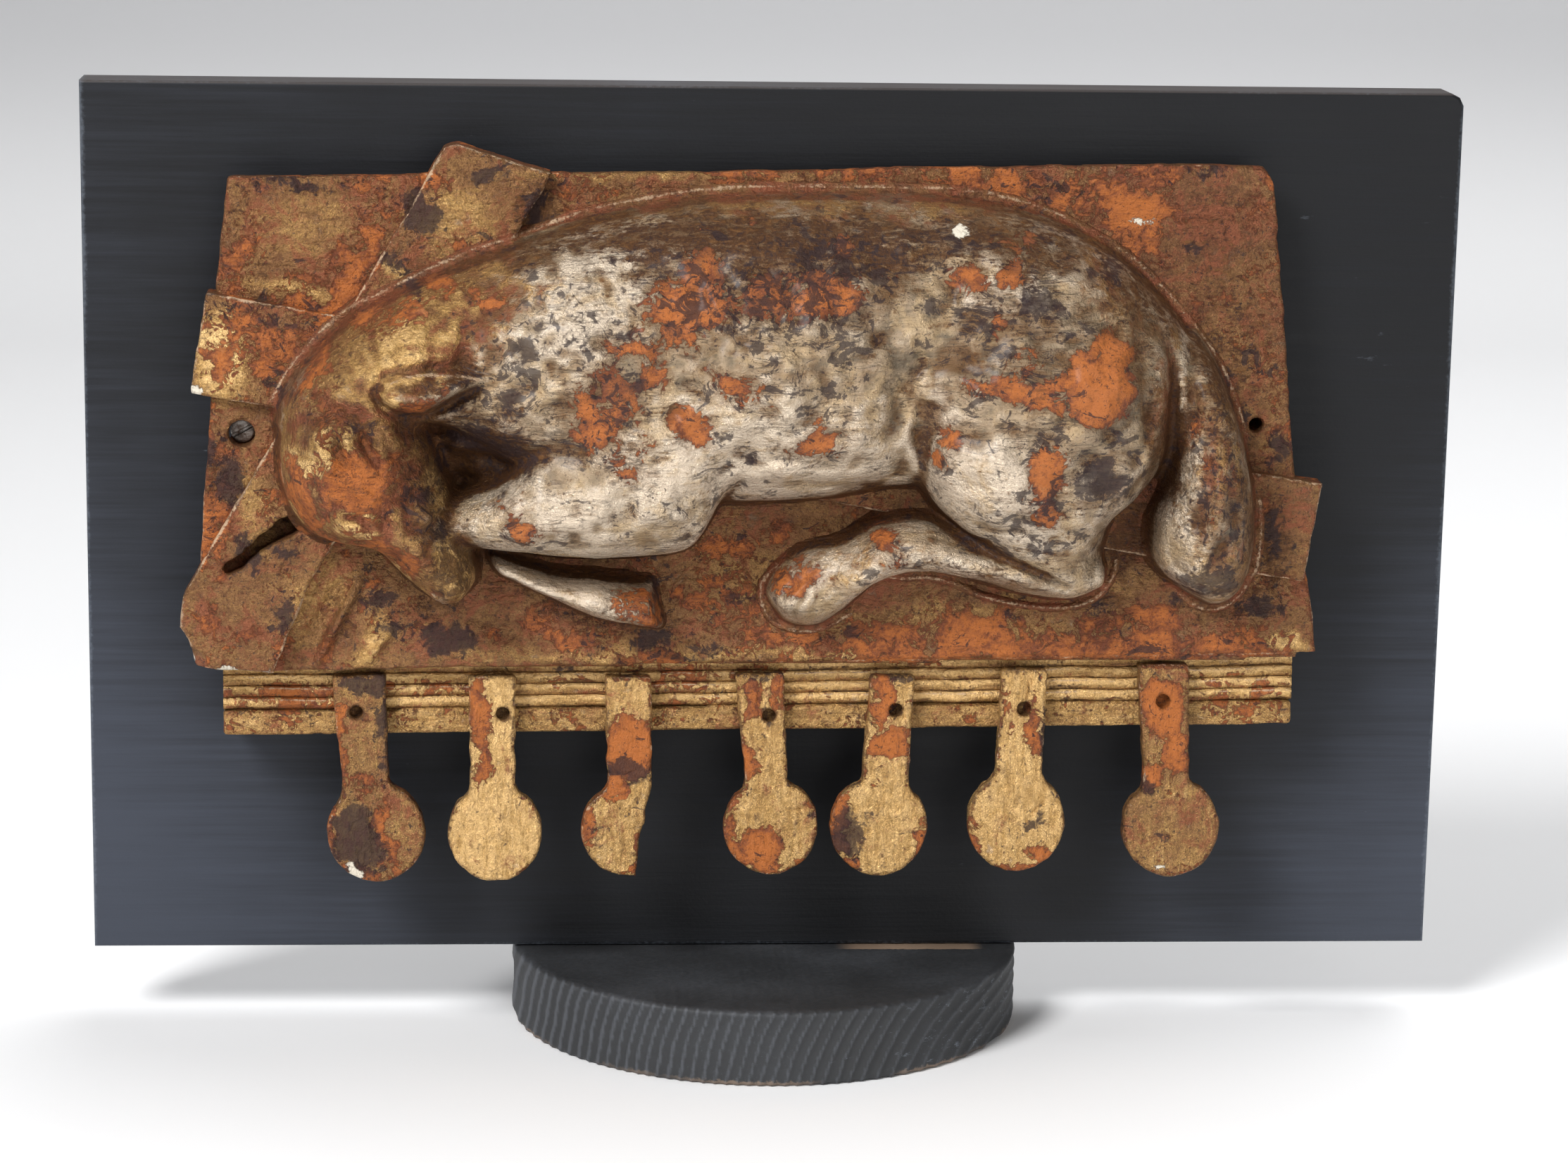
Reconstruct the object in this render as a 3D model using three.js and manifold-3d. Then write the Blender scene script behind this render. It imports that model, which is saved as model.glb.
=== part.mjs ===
// Carved, gilded and silvered lamb on a cross and a sealed book, fixed to a black board on a round foot.
// Millimetres, +Z up, seen from -Y. The origin is the centre of the foot's underside.
import * as THREE from 'three';
import { mergeVertices } from 'three/addons/utils/BufferGeometryUtils.js';
import Module from 'manifold-3d';

const wasm = await Module();
wasm.setup();

// Kept between two pieces that touch
const GAP = 0.3;

// Display stand: a turned foot with the board upright across its middle
const FOOT = { radius: 76, height: 22.4, edge: 1.2, segments: 80 };
const BOARD = {
  width: 400, bottom: FOOT.height + GAP, top: 279.8, thickness: 17, front: -10, edge: 0.8, wornCorner: 3,
};

// Everything carved is drawn face-on: x to the right, y up from the foot's underside, z out from the board.
// The book lies shut. It is thicker at its open edge, below, where the leaves and the back cover show.
const BOOK = {
  top: 257, bottom: 115.3, frontAtTop: 15, frontAtBottom: 27, coverThickness: 5.2, inset: 4,
  blockBottom: 94, blockLeft: -160.2, blockRight: 153, blockSpineLeft: -154, blockSpineRight: 139,
  stripHeight: 7.6, leaves: 4, turn: THREE.MathUtils.degToRad(0.6),
};

// Section of one leaf's edge, from its groove outwards: share of the leaf's height, and depth
const LEAF_EDGE = [[0.05, 1.3], [0.35, 0.2], [0.95, 0]];

// Cover outline, clockwise from its upper left corner
const COVER = [
  [-157.8, 254.5], [-102, 255.8], [-22, 257.1], [49, 259.1], [127, 260.4], [139.6, 260.2], [142.8, 255],
  [146, 221.8], [150.4, 176], [158.6, 118.6], [-20, 115.2], [-150, 112.8], [-166, 114], [-166, 143.4],
  [-160.8, 223.6],
];

// Cross: a long beam that falls to the right and an arm that crosses it steeply, with two chipped corners
const CROSS = {
  rise: 4.5, thickness: 10.5,
  beamLeft: [-166, 207.8], beamRight: [155.8, 154.6], beamWidth: 29.6,
  arm: [
    [-96.1, 263.8], [-92, 264.6], [-65.3, 256.6], [-67.6, 251.6], [-134.2, 138.6], [-144.6, 113.4],
    [-167.2, 114.5], [-168.8, 122.2], [-171.6, 126.7], [-170.8, 135.8],
  ],
  chips: [[-170.4, 191.8, 4.4], [-169.4, 116, 5.2]], chipDepth: 3.6,
};

// How deep a form's edges are let into the cover
const BURY = 2.2;

// Seals: flat straps with discs, nailed over the leaves, that stand a little further out at their lower ends
const SEAL = {
  thickness: 5, backAtTop: 19.6, backAtBottom: 24.6, top: 113, bottom: 46.5, holeRadius: 2,
  discStretch: 0.4, shoulder: 0.3, shoulderRise: 1.5, cornerCut: 0.8,
};

// Strap as [left, right, top], waist as [left, right, height], disc centre and half width, nail hole
const seal = (strap, waist, disc, radius, hole) => ({ strap, waist, disc, radius, hole });
const SEALS = [
  seal([-128.7, -112.6, 111.6], [-125.8, -111.6, 80.9], [-115.6, 65.2], 14.4, [-121.3, 100.7]),
  seal([-89.3, -75.2, 111.2], [-88.6, -75.2, 80.9], [-81.3, 64.9], 14, [-79.1, 100.1]),
  seal([-49.8, -35.7, 111.2], [-48.8, -35.5, 80.8], [-43.2, 65.7], 13.2, null),
  seal([-12, 2.7, 112], [-8.6, 4.2, 80.4], [-0.9, 66.8], 14, [-1.8, 99.7]),
  seal([27.6, 41, 111.6], [25.4, 39.6, 80.6], [30.7, 66.8], 14.5, [35.2, 101.3]),
  seal([65.9, 80, 113.2], [64.8, 78.9, 84.2], [71.3, 68.2], 14.6, [72.9, 101.5]),
  seal([106, 121.5, 115], [108.4, 122.4, 82.1], [116.9, 66.4], 14.6, [113.9, 103.8]),
];

// The third seal has lost its right side: its edge there from the strap down, and where the rim meets it
const BROKEN = {
  seal: 2, edge: [[-35.6, 78.3], [-37.3, 70.6], [-38.9, 62.5], [-40.2, 51.2]], rimTurn: 1.56 * Math.PI,
};

// Fixing holes: a screw sits in the left one, the right one is empty
const SCREW = {
  at: [-153.7, 181.4], headRadius: 3.5, headHeight: 2.2, seat: 13, shankRadius: 1.9, bite: 8,
  slot: 1, slotTurn: 0.5,
};
const EMPTY_HOLE = { at: [138.9, 185.2], radius: 2.1 };

// Heights from below every carved piece to above it, for holes that go right through
const THROUGH = [-1, 70];

// Carved forms. Each station crosses the form from edge a to edge b and crests at height top, a share crest
// of the way across. full shapes the crossing: 2 is round, more is squarer.
const station = (a, b, top, crest = 0.5, full = 2.2) => ({ a, b, top, crest, full });
const FORMS = {
  // The neck and the torso are one form that runs from behind the head to the rump
  torso: {
    steps: 42, across: 14, stations: [
      station([-144.4, 184.5], [-108, 178], 48), station([-141.5, 195], [-105, 184], 56),
      station([-134.4, 205], [-100, 187], 58), station([-121.5, 217], [-93, 185], 56.5),
      station([-103, 226.6], [-83, 178], 55), station([-84, 234.4], [-70, 170], 55, 0.53),
      station([-57, 243.4], [-50, 163], 57, 0.56), station([-22, 250], [-20, 163], 58.5, 0.56),
      station([14, 251.2], [8, 164], 57.5, 0.56), station([46, 250.7], [38, 168], 54.5, 0.56),
      station([78, 244.3], [66, 165], 54, 0.54), station([100, 232], [88, 166], 52),
      station([117, 214], [102, 168], 46), station([128.4, 198], [114, 170], 36),
    ],
  },
  head: {
    steps: 26, across: 14, stations: [
      station([-131, 198], [-112, 201], 46), station([-140, 191], [-103, 196], 57),
      station([-143.2, 179], [-98.5, 185], 61), station([-141.2, 166], [-94.5, 173], 61.6),
      station([-134, 155.6], [-91, 163], 60.6, 0.55), station([-118, 152.6], [-88.6, 154.6], 58.5, 0.55),
      station([-110, 145.6], [-87, 147.5], 56, 0.55), station([-103, 139.4], [-86.8, 141.6], 53.5, 0.55),
      station([-97, 136], [-90, 137.4], 49),
    ],
  },
  chest: {
    steps: 14, across: 12, stations: [
      station([-12, 190], [-17.5, 163.5], 46, 0.5, 2.6), station([-18, 210], [-26, 150.6], 55, 0.55, 2.6),
      station([-38, 216], [-44, 147.8], 58.8, 0.6, 2.4), station([-60, 200], [-62, 147.6], 57.5, 0.6),
      station([-80, 173], [-80, 149.8], 53, 0.5), station([-98, 165], [-98, 151.5], 47),
    ],
  },
  lower_foreleg: {
    steps: 10, across: 8, stations: [
      station([-84, 150], [-80, 142.6], 38), station([-66, 143.6], [-67, 136.6], 41.5),
      station([-51, 142], [-55, 131], 44), station([-42, 141], [-43, 128.4], 44.5),
      station([-36.8, 140.4], [-33.3, 126.8], 43, 0.5, 3),
    ],
  },
  haunch: {
    steps: 20, across: 16, stations: [
      station([60, 236], [94, 230], 34), station([48, 224], [106, 215], 52, 0.45, 2.6),
      station([40, 208], [111.5, 204], 59, 0.42, 2.9), station([35.4, 190], [112.6, 191], 61, 0.42, 3),
      station([37.4, 177], [111, 179], 61, 0.42, 3), station([42.4, 166], [104, 168], 59, 0.45, 2.8),
      station([50.2, 158], [97, 160.6], 54.5, 0.48, 2.5), station([62, 149], [94, 152], 49),
      station([74, 141.4], [93, 143.6], 43),
    ],
  },
  hind_leg: {
    steps: 20, across: 10, stations: [
      station([93.4, 152], [94, 139], 40), station([84, 154], [84, 135.6], 44.5),
      station([70, 154.6], [70, 137.4], 46), station([54, 156], [54, 142], 46.5),
      station([42, 160.4], [38, 143.4], 47), station([30, 159.4], [27, 139.8], 46),
      station([18, 153], [19, 132.4], 43), station([6.6, 149.6], [11, 127.4], 41),
      station([-1, 142.8], [2.6, 128.6], 38), station([-3.2, 138.6], [-2, 134], 33),
    ],
  },
  tail: {
    steps: 18, across: 10, stations: [
      station([110, 211], [119.6, 214], 28), station([112.8, 200], [126.6, 202], 44),
      station([112.2, 182.6], [133.6, 183], 50), station([109.6, 169.8], [137, 167], 52),
      station([106.4, 160], [137.8, 152], 51), station([106.4, 151], [135.4, 140], 47),
      station([110, 144.4], [130.4, 134.4], 41), station([117.6, 139], [125.6, 133.8], 34),
    ],
  },
  ear: {
    steps: 10, across: 8, stations: [
      station([-113, 199.6], [-112.4, 196.4], 53), station([-108, 204.6], [-107, 194.6], 58.5),
      station([-99, 206], [-100, 193.4], 60), station([-91, 205.2], [-92.4, 197], 58),
      station([-84, 203.2], [-84.6, 201.2], 54),
    ],
  },
};

// Hollows cut into the forms: centre, half lengths and turn in the face-on plane, in degrees
const HOLLOWS = [
  { name: 'fold behind the head', at: [-84, 180, 58], half: [15, 4.6, 13], turn: -8 },
  { name: 'inside of the ear', at: [-99, 201.6, 62], half: [12, 2.8, 4.5], turn: 1 },
  { name: 'groove between thigh and tail', at: [110, 180, 56], half: [2.6, 30, 14], turn: -8 },
  { name: 'hole at the hock', at: [58, 154.6, 52], half: [2.2, 2.2, 12], turn: 0 },
  { name: 'nostril', at: [-92, 142.6, 56], half: [1.2, 2.2, 3.4], turn: 20 },
  { name: 'mouth', at: [-102.6, 143.4, 58], half: [8.6, 0.9, 6], turn: -42 },
];

// Bosses added on the forms, in the same terms
const BOSSES = [
  { name: 'left eye', at: [-121.5, 162.6, 59.4], half: [4.6, 2.8, 3], turn: -20 },
  { name: 'right eye', at: [-101.8, 164.4, 58.4], half: [3, 3, 2.6], turn: -20 },
  { name: 'tuft on the forehead', at: [-119, 188.4, 56.6], half: [9, 4.4, 3.8], turn: 6 },
];

// Grooves and ridges on the cover beside the cross: their ends, half width, and rise above the cover
const SLOT = {
  name: 'slot under the long beam', from: [-139.4, 156.6], to: [-157.4, 143.4], half: 2.2, rise: -4,
};
const CHANNELS = [
  { name: 'channel beside the arm', from: [-124.6, 140], to: [-140.4, 110], half: 3.6, rise: -2.2 },
  { name: 'ridge beside the channel', from: [-119.4, 141.4], to: [-133, 115], half: 1.5, rise: 2.2 },
  { name: 'short ridge', from: [-110.8, 125.8], to: [-118.6, 116], half: 1.3, rise: 1.6 },
];

const COLOURS = {
  board: { color: 0x33343a, roughness: 0.7, metalness: 0 },
  foot: { color: 0x2b2b2e, roughness: 0.65, metalness: 0 },
  relief: { color: 0xa98d62, roughness: 0.45, metalness: 0.5 },
  seal: { color: 0xb08a52, roughness: 0.5, metalness: 0.4 },
  screw: { color: 0x5a4436, roughness: 0.5, metalness: 0.8 },
};

const { degToRad, lerp, mapLinear } = THREE.MathUtils;
const coverFront = (y) => mapLinear(y, BOOK.bottom, BOOK.top, BOOK.frontAtBottom, BOOK.frontAtTop);
const sealBack = (y) => mapLinear(y, SEAL.bottom, SEAL.top, SEAL.backAtBottom, SEAL.backAtTop);

// Corners closer than this are one
const SAME_POINT = 1e-4;

// Closed solid from a three.js geometry, with its corners merged and its faces turned outwards
function solid(geometry) {
  const bare = new THREE.BufferGeometry();
  bare.setAttribute('position', geometry.attributes.position.clone());
  if (geometry.index) bare.setIndex(geometry.index.clone());
  const merged = mergeVertices(bare, SAME_POINT);
  const points = merged.attributes.position.array;
  const kept = [];
  let volume = 0;
  const [a, b, c] = [new THREE.Vector3(), new THREE.Vector3(), new THREE.Vector3()];
  for (let i = 0; i < merged.index.count; i += 3) {
    const corner = [0, 1, 2].map((k) => merged.index.getX(i + k));
    if (new Set(corner).size < 3) continue;
    [a, b, c].forEach((vertex, k) => vertex.fromArray(points, corner[k] * 3));
    volume += a.dot(b.clone().cross(c));
    kept.push(corner);
  }
  const triangles = kept.flatMap((corner) => (volume < 0 ? [corner[0], corner[2], corner[1]] : corner));
  const mesh = new wasm.Mesh({
    numProp: 3, vertProperties: new Float32Array(points), triVerts: new Uint32Array(triangles),
  });
  return new wasm.Manifold(mesh);
}

// three.js geometry from a solid
function geometryOf(body) {
  const { vertProperties, triVerts } = body.getMesh();
  const geometry = new THREE.BufferGeometry();
  geometry.setAttribute('position', new THREE.BufferAttribute(new Float32Array(vertProperties), 3));
  geometry.setIndex(new THREE.BufferAttribute(new Uint32Array(triVerts), 1));
  geometry.computeVertexNormals();
  return geometry;
}

const shapeOf = (points) => new THREE.Shape(points.map(([x, y]) => new THREE.Vector2(x, y)));

// Flat piece whose back and front are heights above the board, each worked out from y
function plate(shape, back, front, curveSegments = 12) {
  const geometry = new THREE.ExtrudeGeometry(shape, { depth: 1, bevelEnabled: false, curveSegments });
  const position = geometry.attributes.position;
  for (let i = 0; i < position.count; i += 1) {
    const y = position.getY(i);
    position.setZ(i, position.getZ(i) < 0.5 ? back(y) : front(y));
  }
  return solid(geometry);
}

// Round bar along z, from one height to another
function post([x, y], radius, low, high, sides = 24) {
  const geometry = new THREE.CylinderGeometry(radius, radius, high - low, sides);
  geometry.rotateX(Math.PI / 2);
  geometry.translate(x, y, (low + high) / 2);
  return solid(geometry);
}

// Ellipsoid for a hollow or a boss
function egg({ at, half, turn }) {
  const geometry = new THREE.SphereGeometry(1, 16, 10);
  geometry.scale(...half);
  geometry.rotateZ(degToRad(turn));
  geometry.translate(...at);
  return solid(geometry);
}

// Rounded carved form through its stations, with its edges let into the cover
function carve({ stations, steps, across }) {
  const edgeA = new THREE.CatmullRomCurve3(stations.map((s) => new THREE.Vector3(...s.a, s.top)));
  const edgeB = new THREE.CatmullRomCurve3(stations.map((s) => new THREE.Vector3(...s.b, s.crest)));
  const fullness = new THREE.SplineCurve(stations.map((s, i) => new THREE.Vector2(i, s.full)));
  const positions = [];
  for (let i = 0; i <= steps; i += 1) {
    const a = edgeA.getPoint(i / steps);
    const b = edgeB.getPoint(i / steps);
    const full = fullness.getPoint(i / steps).y;
    for (let j = 0; j <= across; j += 1) {
      const side = -Math.cos((Math.PI * j) / across);
      const share = side < 0 ? b.z * (1 + side) : lerp(b.z, 1, side);
      const lift = Math.max(0, 1 - Math.abs(side) ** full) ** (1 / full);
      const y = lerp(a.y, b.y, share);
      const base = coverFront(y) - BURY;
      positions.push(lerp(a.x, b.x, share), y, base + (a.z - base) * lift);
    }
  }
  const ring = across + 1;
  const index = [];
  for (let i = 0; i < steps; i += 1) {
    for (let j = 0; j < ring; j += 1) {
      const here = i * ring + j;
      const next = i * ring + ((j + 1) % ring);
      index.push(here, next, next + ring, here, next + ring, here + ring);
    }
  }
  for (let j = 1; j < across; j += 1) {
    const last = steps * ring;
    index.push(0, j + 1, j, last, last + j, last + j + 1);
  }
  const geometry = new THREE.BufferGeometry();
  geometry.setAttribute('position', new THREE.BufferAttribute(new Float32Array(positions), 3));
  geometry.setIndex(index);
  return solid(geometry);
}

// Straight bar of three-sided section along the cover, for a groove or a ridge
function channel({ from, to, half, rise }) {
  const start = new THREE.Vector2(...from);
  const end = new THREE.Vector2(...to);
  const along = end.clone().sub(start).normalize();
  const aside = new THREE.Vector2(-along.y, along.x).multiplyScalar(half);
  const shape = shapeOf([
    start.clone().add(aside), end.clone().add(aside), end.clone().sub(aside), start.clone().sub(aside),
  ].map((p) => [p.x, p.y]));
  const low = rise < 0 ? rise : -BURY;
  const high = rise < 0 ? BURY + CROSS.rise : rise;
  return plate(shape, (y) => coverFront(y) + low, (y) => coverFront(y) + high);
}

function footGeometry() {
  const { radius, height, edge, segments } = FOOT;
  const profile = [
    [0, 0], [radius - edge, 0], [radius, edge],
    [radius, height - edge], [radius - edge, height], [0, height],
  ].map(([r, z]) => new THREE.Vector2(r, z));
  const geometry = new THREE.LatheGeometry(profile, segments);
  geometry.rotateX(Math.PI / 2);
  return geometryOf(solid(geometry));
}

function boardGeometry() {
  const { width, bottom, top, thickness, edge, wornCorner } = BOARD;
  const x = width / 2 - edge;
  const shape = shapeOf([
    [-x, bottom + edge], [x, bottom + edge], [x, top - edge - wornCorner],
    [x - wornCorner / 3, top - edge - wornCorner / 3], [x - wornCorner, top - edge], [-x, top - edge],
  ]);
  const geometry = new THREE.ExtrudeGeometry(shape, {
    depth: thickness - 2 * edge, bevelSize: edge, bevelThickness: edge, bevelSegments: 2,
  });
  geometry.translate(0, 0, edge - thickness);
  const pilot = post(SCREW.at, SCREW.shankRadius + GAP, -SCREW.bite - GAP, GAP);
  return geometryOf(solid(geometry).subtract(pilot));
}

// Leaves and back cover between the covers, drawn as a section and run along the book
function pageBlock() {
  const { blockLeft, blockRight, blockBottom, blockSpineLeft, blockSpineRight, stripHeight, leaves } = BOOK;
  const face = (y) => sealBack(y) - GAP;
  const stripTop = blockBottom + stripHeight;
  const spine = BOOK.top - BOOK.inset;
  const leavesTop = BOOK.bottom - GAP;
  const section = [[blockBottom, GAP], [blockBottom, face(blockBottom)], [stripTop, face(stripTop)]];
  const leaf = (leavesTop - stripTop) / leaves;
  for (let i = 0; i < leaves; i += 1) {
    const low = stripTop + i * leaf;
    LEAF_EDGE.forEach(([share, depth]) => section.push([low + leaf * share, face(low) - depth]));
  }
  const coverBack = (y) => coverFront(y) - BOOK.coverThickness / 3;
  section.push([leavesTop, coverBack(leavesTop)], [spine, coverBack(spine)], [spine, GAP]);
  const shape = shapeOf(section);
  const geometry = new THREE.ExtrudeGeometry(shape, { depth: blockRight - blockLeft, bevelEnabled: false });
  // The section's x is the book's height and its y is the height above the board
  const swap = new THREE.Matrix4().makeBasis(
    new THREE.Vector3(0, 1, 0), new THREE.Vector3(0, 0, 1), new THREE.Vector3(1, 0, 0),
  );
  geometry.applyMatrix4(swap);
  geometry.translate(blockLeft, 0, 0);
  // The book lies turned a little, and its face stays level with the backs of the seals
  const position = geometry.attributes.position;
  for (let i = 0; i < position.count; i += 1) {
    const lift = position.getX(i) * Math.tan(BOOK.turn);
    const y = position.getY(i);
    position.setY(i, y + lift);
    if (position.getZ(i) > 2 * GAP) position.setZ(i, position.getZ(i) + face(y + lift) - face(y));
  }
  // The block narrows towards the spine as the cover does
  const bounds = shapeOf([
    [blockSpineLeft, BOOK.top], [blockSpineRight, BOOK.top], [blockRight, BOOK.bottom], [blockRight, 0],
    [blockLeft, 0], [blockLeft, BOOK.bottom],
  ]);
  return solid(geometry).intersect(plate(bounds, () => THROUGH[0], () => THROUGH[1]));
}

function crossSolid() {
  const { rise, thickness, beamLeft, beamRight, beamWidth, arm, chips, chipDepth } = CROSS;
  const front = (y) => coverFront(y) + rise;
  const back = (y) => coverFront(y) + rise - thickness;
  const start = new THREE.Vector2(...beamLeft);
  const end = new THREE.Vector2(...beamRight);
  const aside = end.clone().sub(start).normalize().rotateAround(new THREE.Vector2(), Math.PI / 2);
  aside.multiplyScalar(beamWidth / 2);
  const beam = new THREE.Shape([
    start.clone().sub(aside), end.clone().sub(aside), end.clone().add(aside), start.clone().add(aside),
  ]);
  let cross = plate(beam, back, front).add(plate(shapeOf(arm), back, front));
  for (const [x, y, size] of chips) {
    cross = cross.subtract(egg({ at: [x, y, front(y)], half: [size, size, chipDepth], turn: 0 }));
  }
  return cross;
}

function reliefGeometry() {
  const cover = plate(shapeOf(COVER), (y) => coverFront(y) - BOOK.coverThickness, coverFront);
  let relief = pageBlock().add(cover);
  CHANNELS.forEach((line) => {
    relief = line.rise < 0 ? relief.subtract(channel(line)) : relief.add(channel(line));
  });
  relief = relief.add(crossSolid());
  relief = relief.subtract(channel(SLOT));
  Object.values(FORMS).forEach((form) => {
    relief = relief.add(carve(form));
  });
  BOSSES.forEach((boss) => {
    relief = relief.add(egg(boss));
  });
  HOLLOWS.forEach((hollow) => {
    relief = relief.subtract(egg(hollow));
  });
  const counterbore = post(SCREW.at, SCREW.headRadius + GAP, SCREW.seat, THROUGH[1]);
  const clearance = post(SCREW.at, SCREW.shankRadius + GAP, ...THROUGH);
  const empty = post(EMPTY_HOLE.at, EMPTY_HOLE.radius, ...THROUGH);
  return geometryOf(relief.subtract(counterbore).subtract(clearance).subtract(empty));
}

// Strap and disc of one seal, cut along the break where its side is lost
function sealGeometry({ strap, waist, disc, radius, hole }, broken) {
  const [left, right, top] = strap;
  const [waistLeft, waistRight, waistY] = waist;
  const [x, y] = disc;
  const { discStretch, shoulder, shoulderRise, cornerCut } = SEAL;
  const height = radius + discStretch;
  const rim = (angle) => [x + radius * Math.cos(angle), y + height * Math.sin(angle)];
  const from = Math.acos((waistLeft - x) / radius) + shoulder;
  const to = Math.acos((waistRight - x) / radius) - shoulder;
  const shape = new THREE.Shape();
  shape.moveTo(left + cornerCut, top);
  shape.lineTo(left, top - cornerCut);
  shape.lineTo(waistLeft, waistY);
  shape.quadraticCurveTo(waistLeft, rim(from)[1] + shoulderRise, ...rim(from));
  if (broken) {
    shape.absellipse(x, y, radius, height, from, BROKEN.rimTurn, false);
    BROKEN.edge.slice().reverse().forEach((point) => shape.lineTo(...point));
  } else {
    shape.absellipse(x, y, radius, height, from, to + 2 * Math.PI, false);
    shape.quadraticCurveTo(waistRight, rim(to)[1] + shoulderRise, waistRight, waistY);
  }
  shape.lineTo(right, top - cornerCut);
  shape.lineTo(right - cornerCut, top);
  const body = plate(shape, sealBack, (v) => sealBack(v) + SEAL.thickness, 14);
  return geometryOf(hole ? body.subtract(post(hole, SEAL.holeRadius, ...THROUGH, 12)) : body);
}

function screwGeometry() {
  const { at, headRadius, headHeight, seat, shankRadius, bite, slot, slotTurn } = SCREW;
  const low = seat + GAP;
  const head = post(at, headRadius, low, low + headHeight);
  const shank = post(at, shankRadius, -bite, low + headHeight / 2, 16);
  const cut = new THREE.BoxGeometry(headRadius * 3, slot, headHeight);
  cut.rotateZ(slotTurn);
  cut.translate(at[0], at[1], low + headHeight);
  return geometryOf(head.add(shank).subtract(solid(cut)));
}

function piece(name, geometry, look) {
  const mesh = new THREE.Mesh(geometry, new THREE.MeshStandardMaterial(look));
  mesh.name = name;
  return mesh;
}

const object = new THREE.Group();
object.add(piece('round_foot', footGeometry(), COLOURS.foot));

// Turns the face-on pieces upright against the board
const upright = new THREE.Group();
upright.rotation.x = Math.PI / 2;
upright.position.y = BOARD.front;
upright.add(piece('mount_board', boardGeometry(), COLOURS.board));
upright.add(piece('lamb_and_book', reliefGeometry(), COLOURS.relief));
SEALS.forEach((each, i) => {
  upright.add(piece(`seal_${i + 1}`, sealGeometry(each, i === BROKEN.seal), COLOURS.seal));
});
upright.add(piece('fixing_screw', screwGeometry(), COLOURS.screw));
object.add(upright);

export default object;
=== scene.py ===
"""Looks of a gilded and silvered lamb relief on its display stand, made around the packed model.

The carved pieces are drawn face-on in millimetres: x to the right, y up from the foot's underside and
z out from the board's front, as in the part's own drawing.
"""
import math

import bmesh
import bpy
import numpy as np
from bpy.props import FloatProperty, FloatVectorProperty, IntProperty, PointerProperty
from mathutils import Matrix, Vector


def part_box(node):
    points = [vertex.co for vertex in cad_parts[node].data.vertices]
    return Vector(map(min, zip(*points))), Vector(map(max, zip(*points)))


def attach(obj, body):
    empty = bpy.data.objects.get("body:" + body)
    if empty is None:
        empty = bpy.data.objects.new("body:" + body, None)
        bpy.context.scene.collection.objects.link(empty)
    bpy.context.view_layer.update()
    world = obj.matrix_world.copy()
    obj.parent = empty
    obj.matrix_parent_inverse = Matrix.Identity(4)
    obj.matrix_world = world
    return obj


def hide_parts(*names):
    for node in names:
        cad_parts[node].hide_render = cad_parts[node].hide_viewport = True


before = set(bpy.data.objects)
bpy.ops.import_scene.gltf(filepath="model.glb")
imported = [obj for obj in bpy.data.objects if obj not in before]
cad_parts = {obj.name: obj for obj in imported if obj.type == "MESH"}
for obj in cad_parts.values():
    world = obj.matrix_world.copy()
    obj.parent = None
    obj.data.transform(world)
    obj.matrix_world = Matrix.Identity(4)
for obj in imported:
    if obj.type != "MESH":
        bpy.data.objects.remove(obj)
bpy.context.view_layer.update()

bl_info = {
    "name": "Gilded Relief Panel",
    "version": (1, 0, 0),
    "blender": (4, 5, 0),
    "location": "View3D > Sidebar > Relief",
    "description": "Builds a worn gilded and silvered relief on a board with a round foot",
    "category": "Add Mesh",
}

MM = 0.001
BOARD_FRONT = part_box("mount_board")[0].y
FOOT_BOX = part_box("round_foot")
GAP = 0.3

# Camera: direction as azimuth, elevation and roll in degrees, then metres; focus in image widths
PHOTO_VIEW = (-3.96, 12.06, 0.95)
PHOTO_TARGET = (0.0037, -0.010, 0.1342)
PHOTO_DISTANCE = 1.247
PHOTO_FOCUS = 6000 / 2227

# Book and cross, face-on
BOOK_TOP = 257.0
BOOK_BOTTOM = 115.3
FRONT_AT_TOP = 15.0
FRONT_AT_BOTTOM = 27.0
COVER_THICKNESS = 5.2
LEAVES_BOTTOM = 94.0
STRIP_HEIGHT = 7.6
LEAF_INSET = 4.0
LEAF_COUNT = 4
BOOK_TURN = math.tan(math.radians(0.6))
COVER_OUTLINE = [
    (-157.8, 254.5), (-102, 255.8), (-22, 257.1), (49, 259.1), (127, 260.4), (139.6, 260.2), (142.8, 255),
    (146, 221.8), (150.4, 176), (158.6, 118.6), (-20, 115.2), (-150, 112.8), (-166, 114), (-166, 143.4),
    (-160.8, 223.6),
]
LEAVES_OUTLINE = [
    (-154, 257), (139, 257), (153, 115.3), (153, 90), (-160.2, 90), (-160.2, 115.3),
]
CROSS_RISE = 4.5
CROSS_THICKNESS = 10.5
CROSS_CHIPS = [(-170.4, 191.8, 4.4), (-169.4, 116, 5.2)]
BEAM_OUTLINE = [(-168.4, 193.2), (153.4, 140.0), (158.2, 169.2), (-163.6, 222.4)]
ARM_OUTLINE = [
    (-96.1, 263.8), (-92, 264.6), (-65.3, 256.6), (-67.6, 251.6), (-134.2, 138.6), (-144.6, 113.4),
    (-167.2, 114.5), (-168.8, 122.2), (-171.6, 126.7), (-170.8, 135.8),
]

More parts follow.
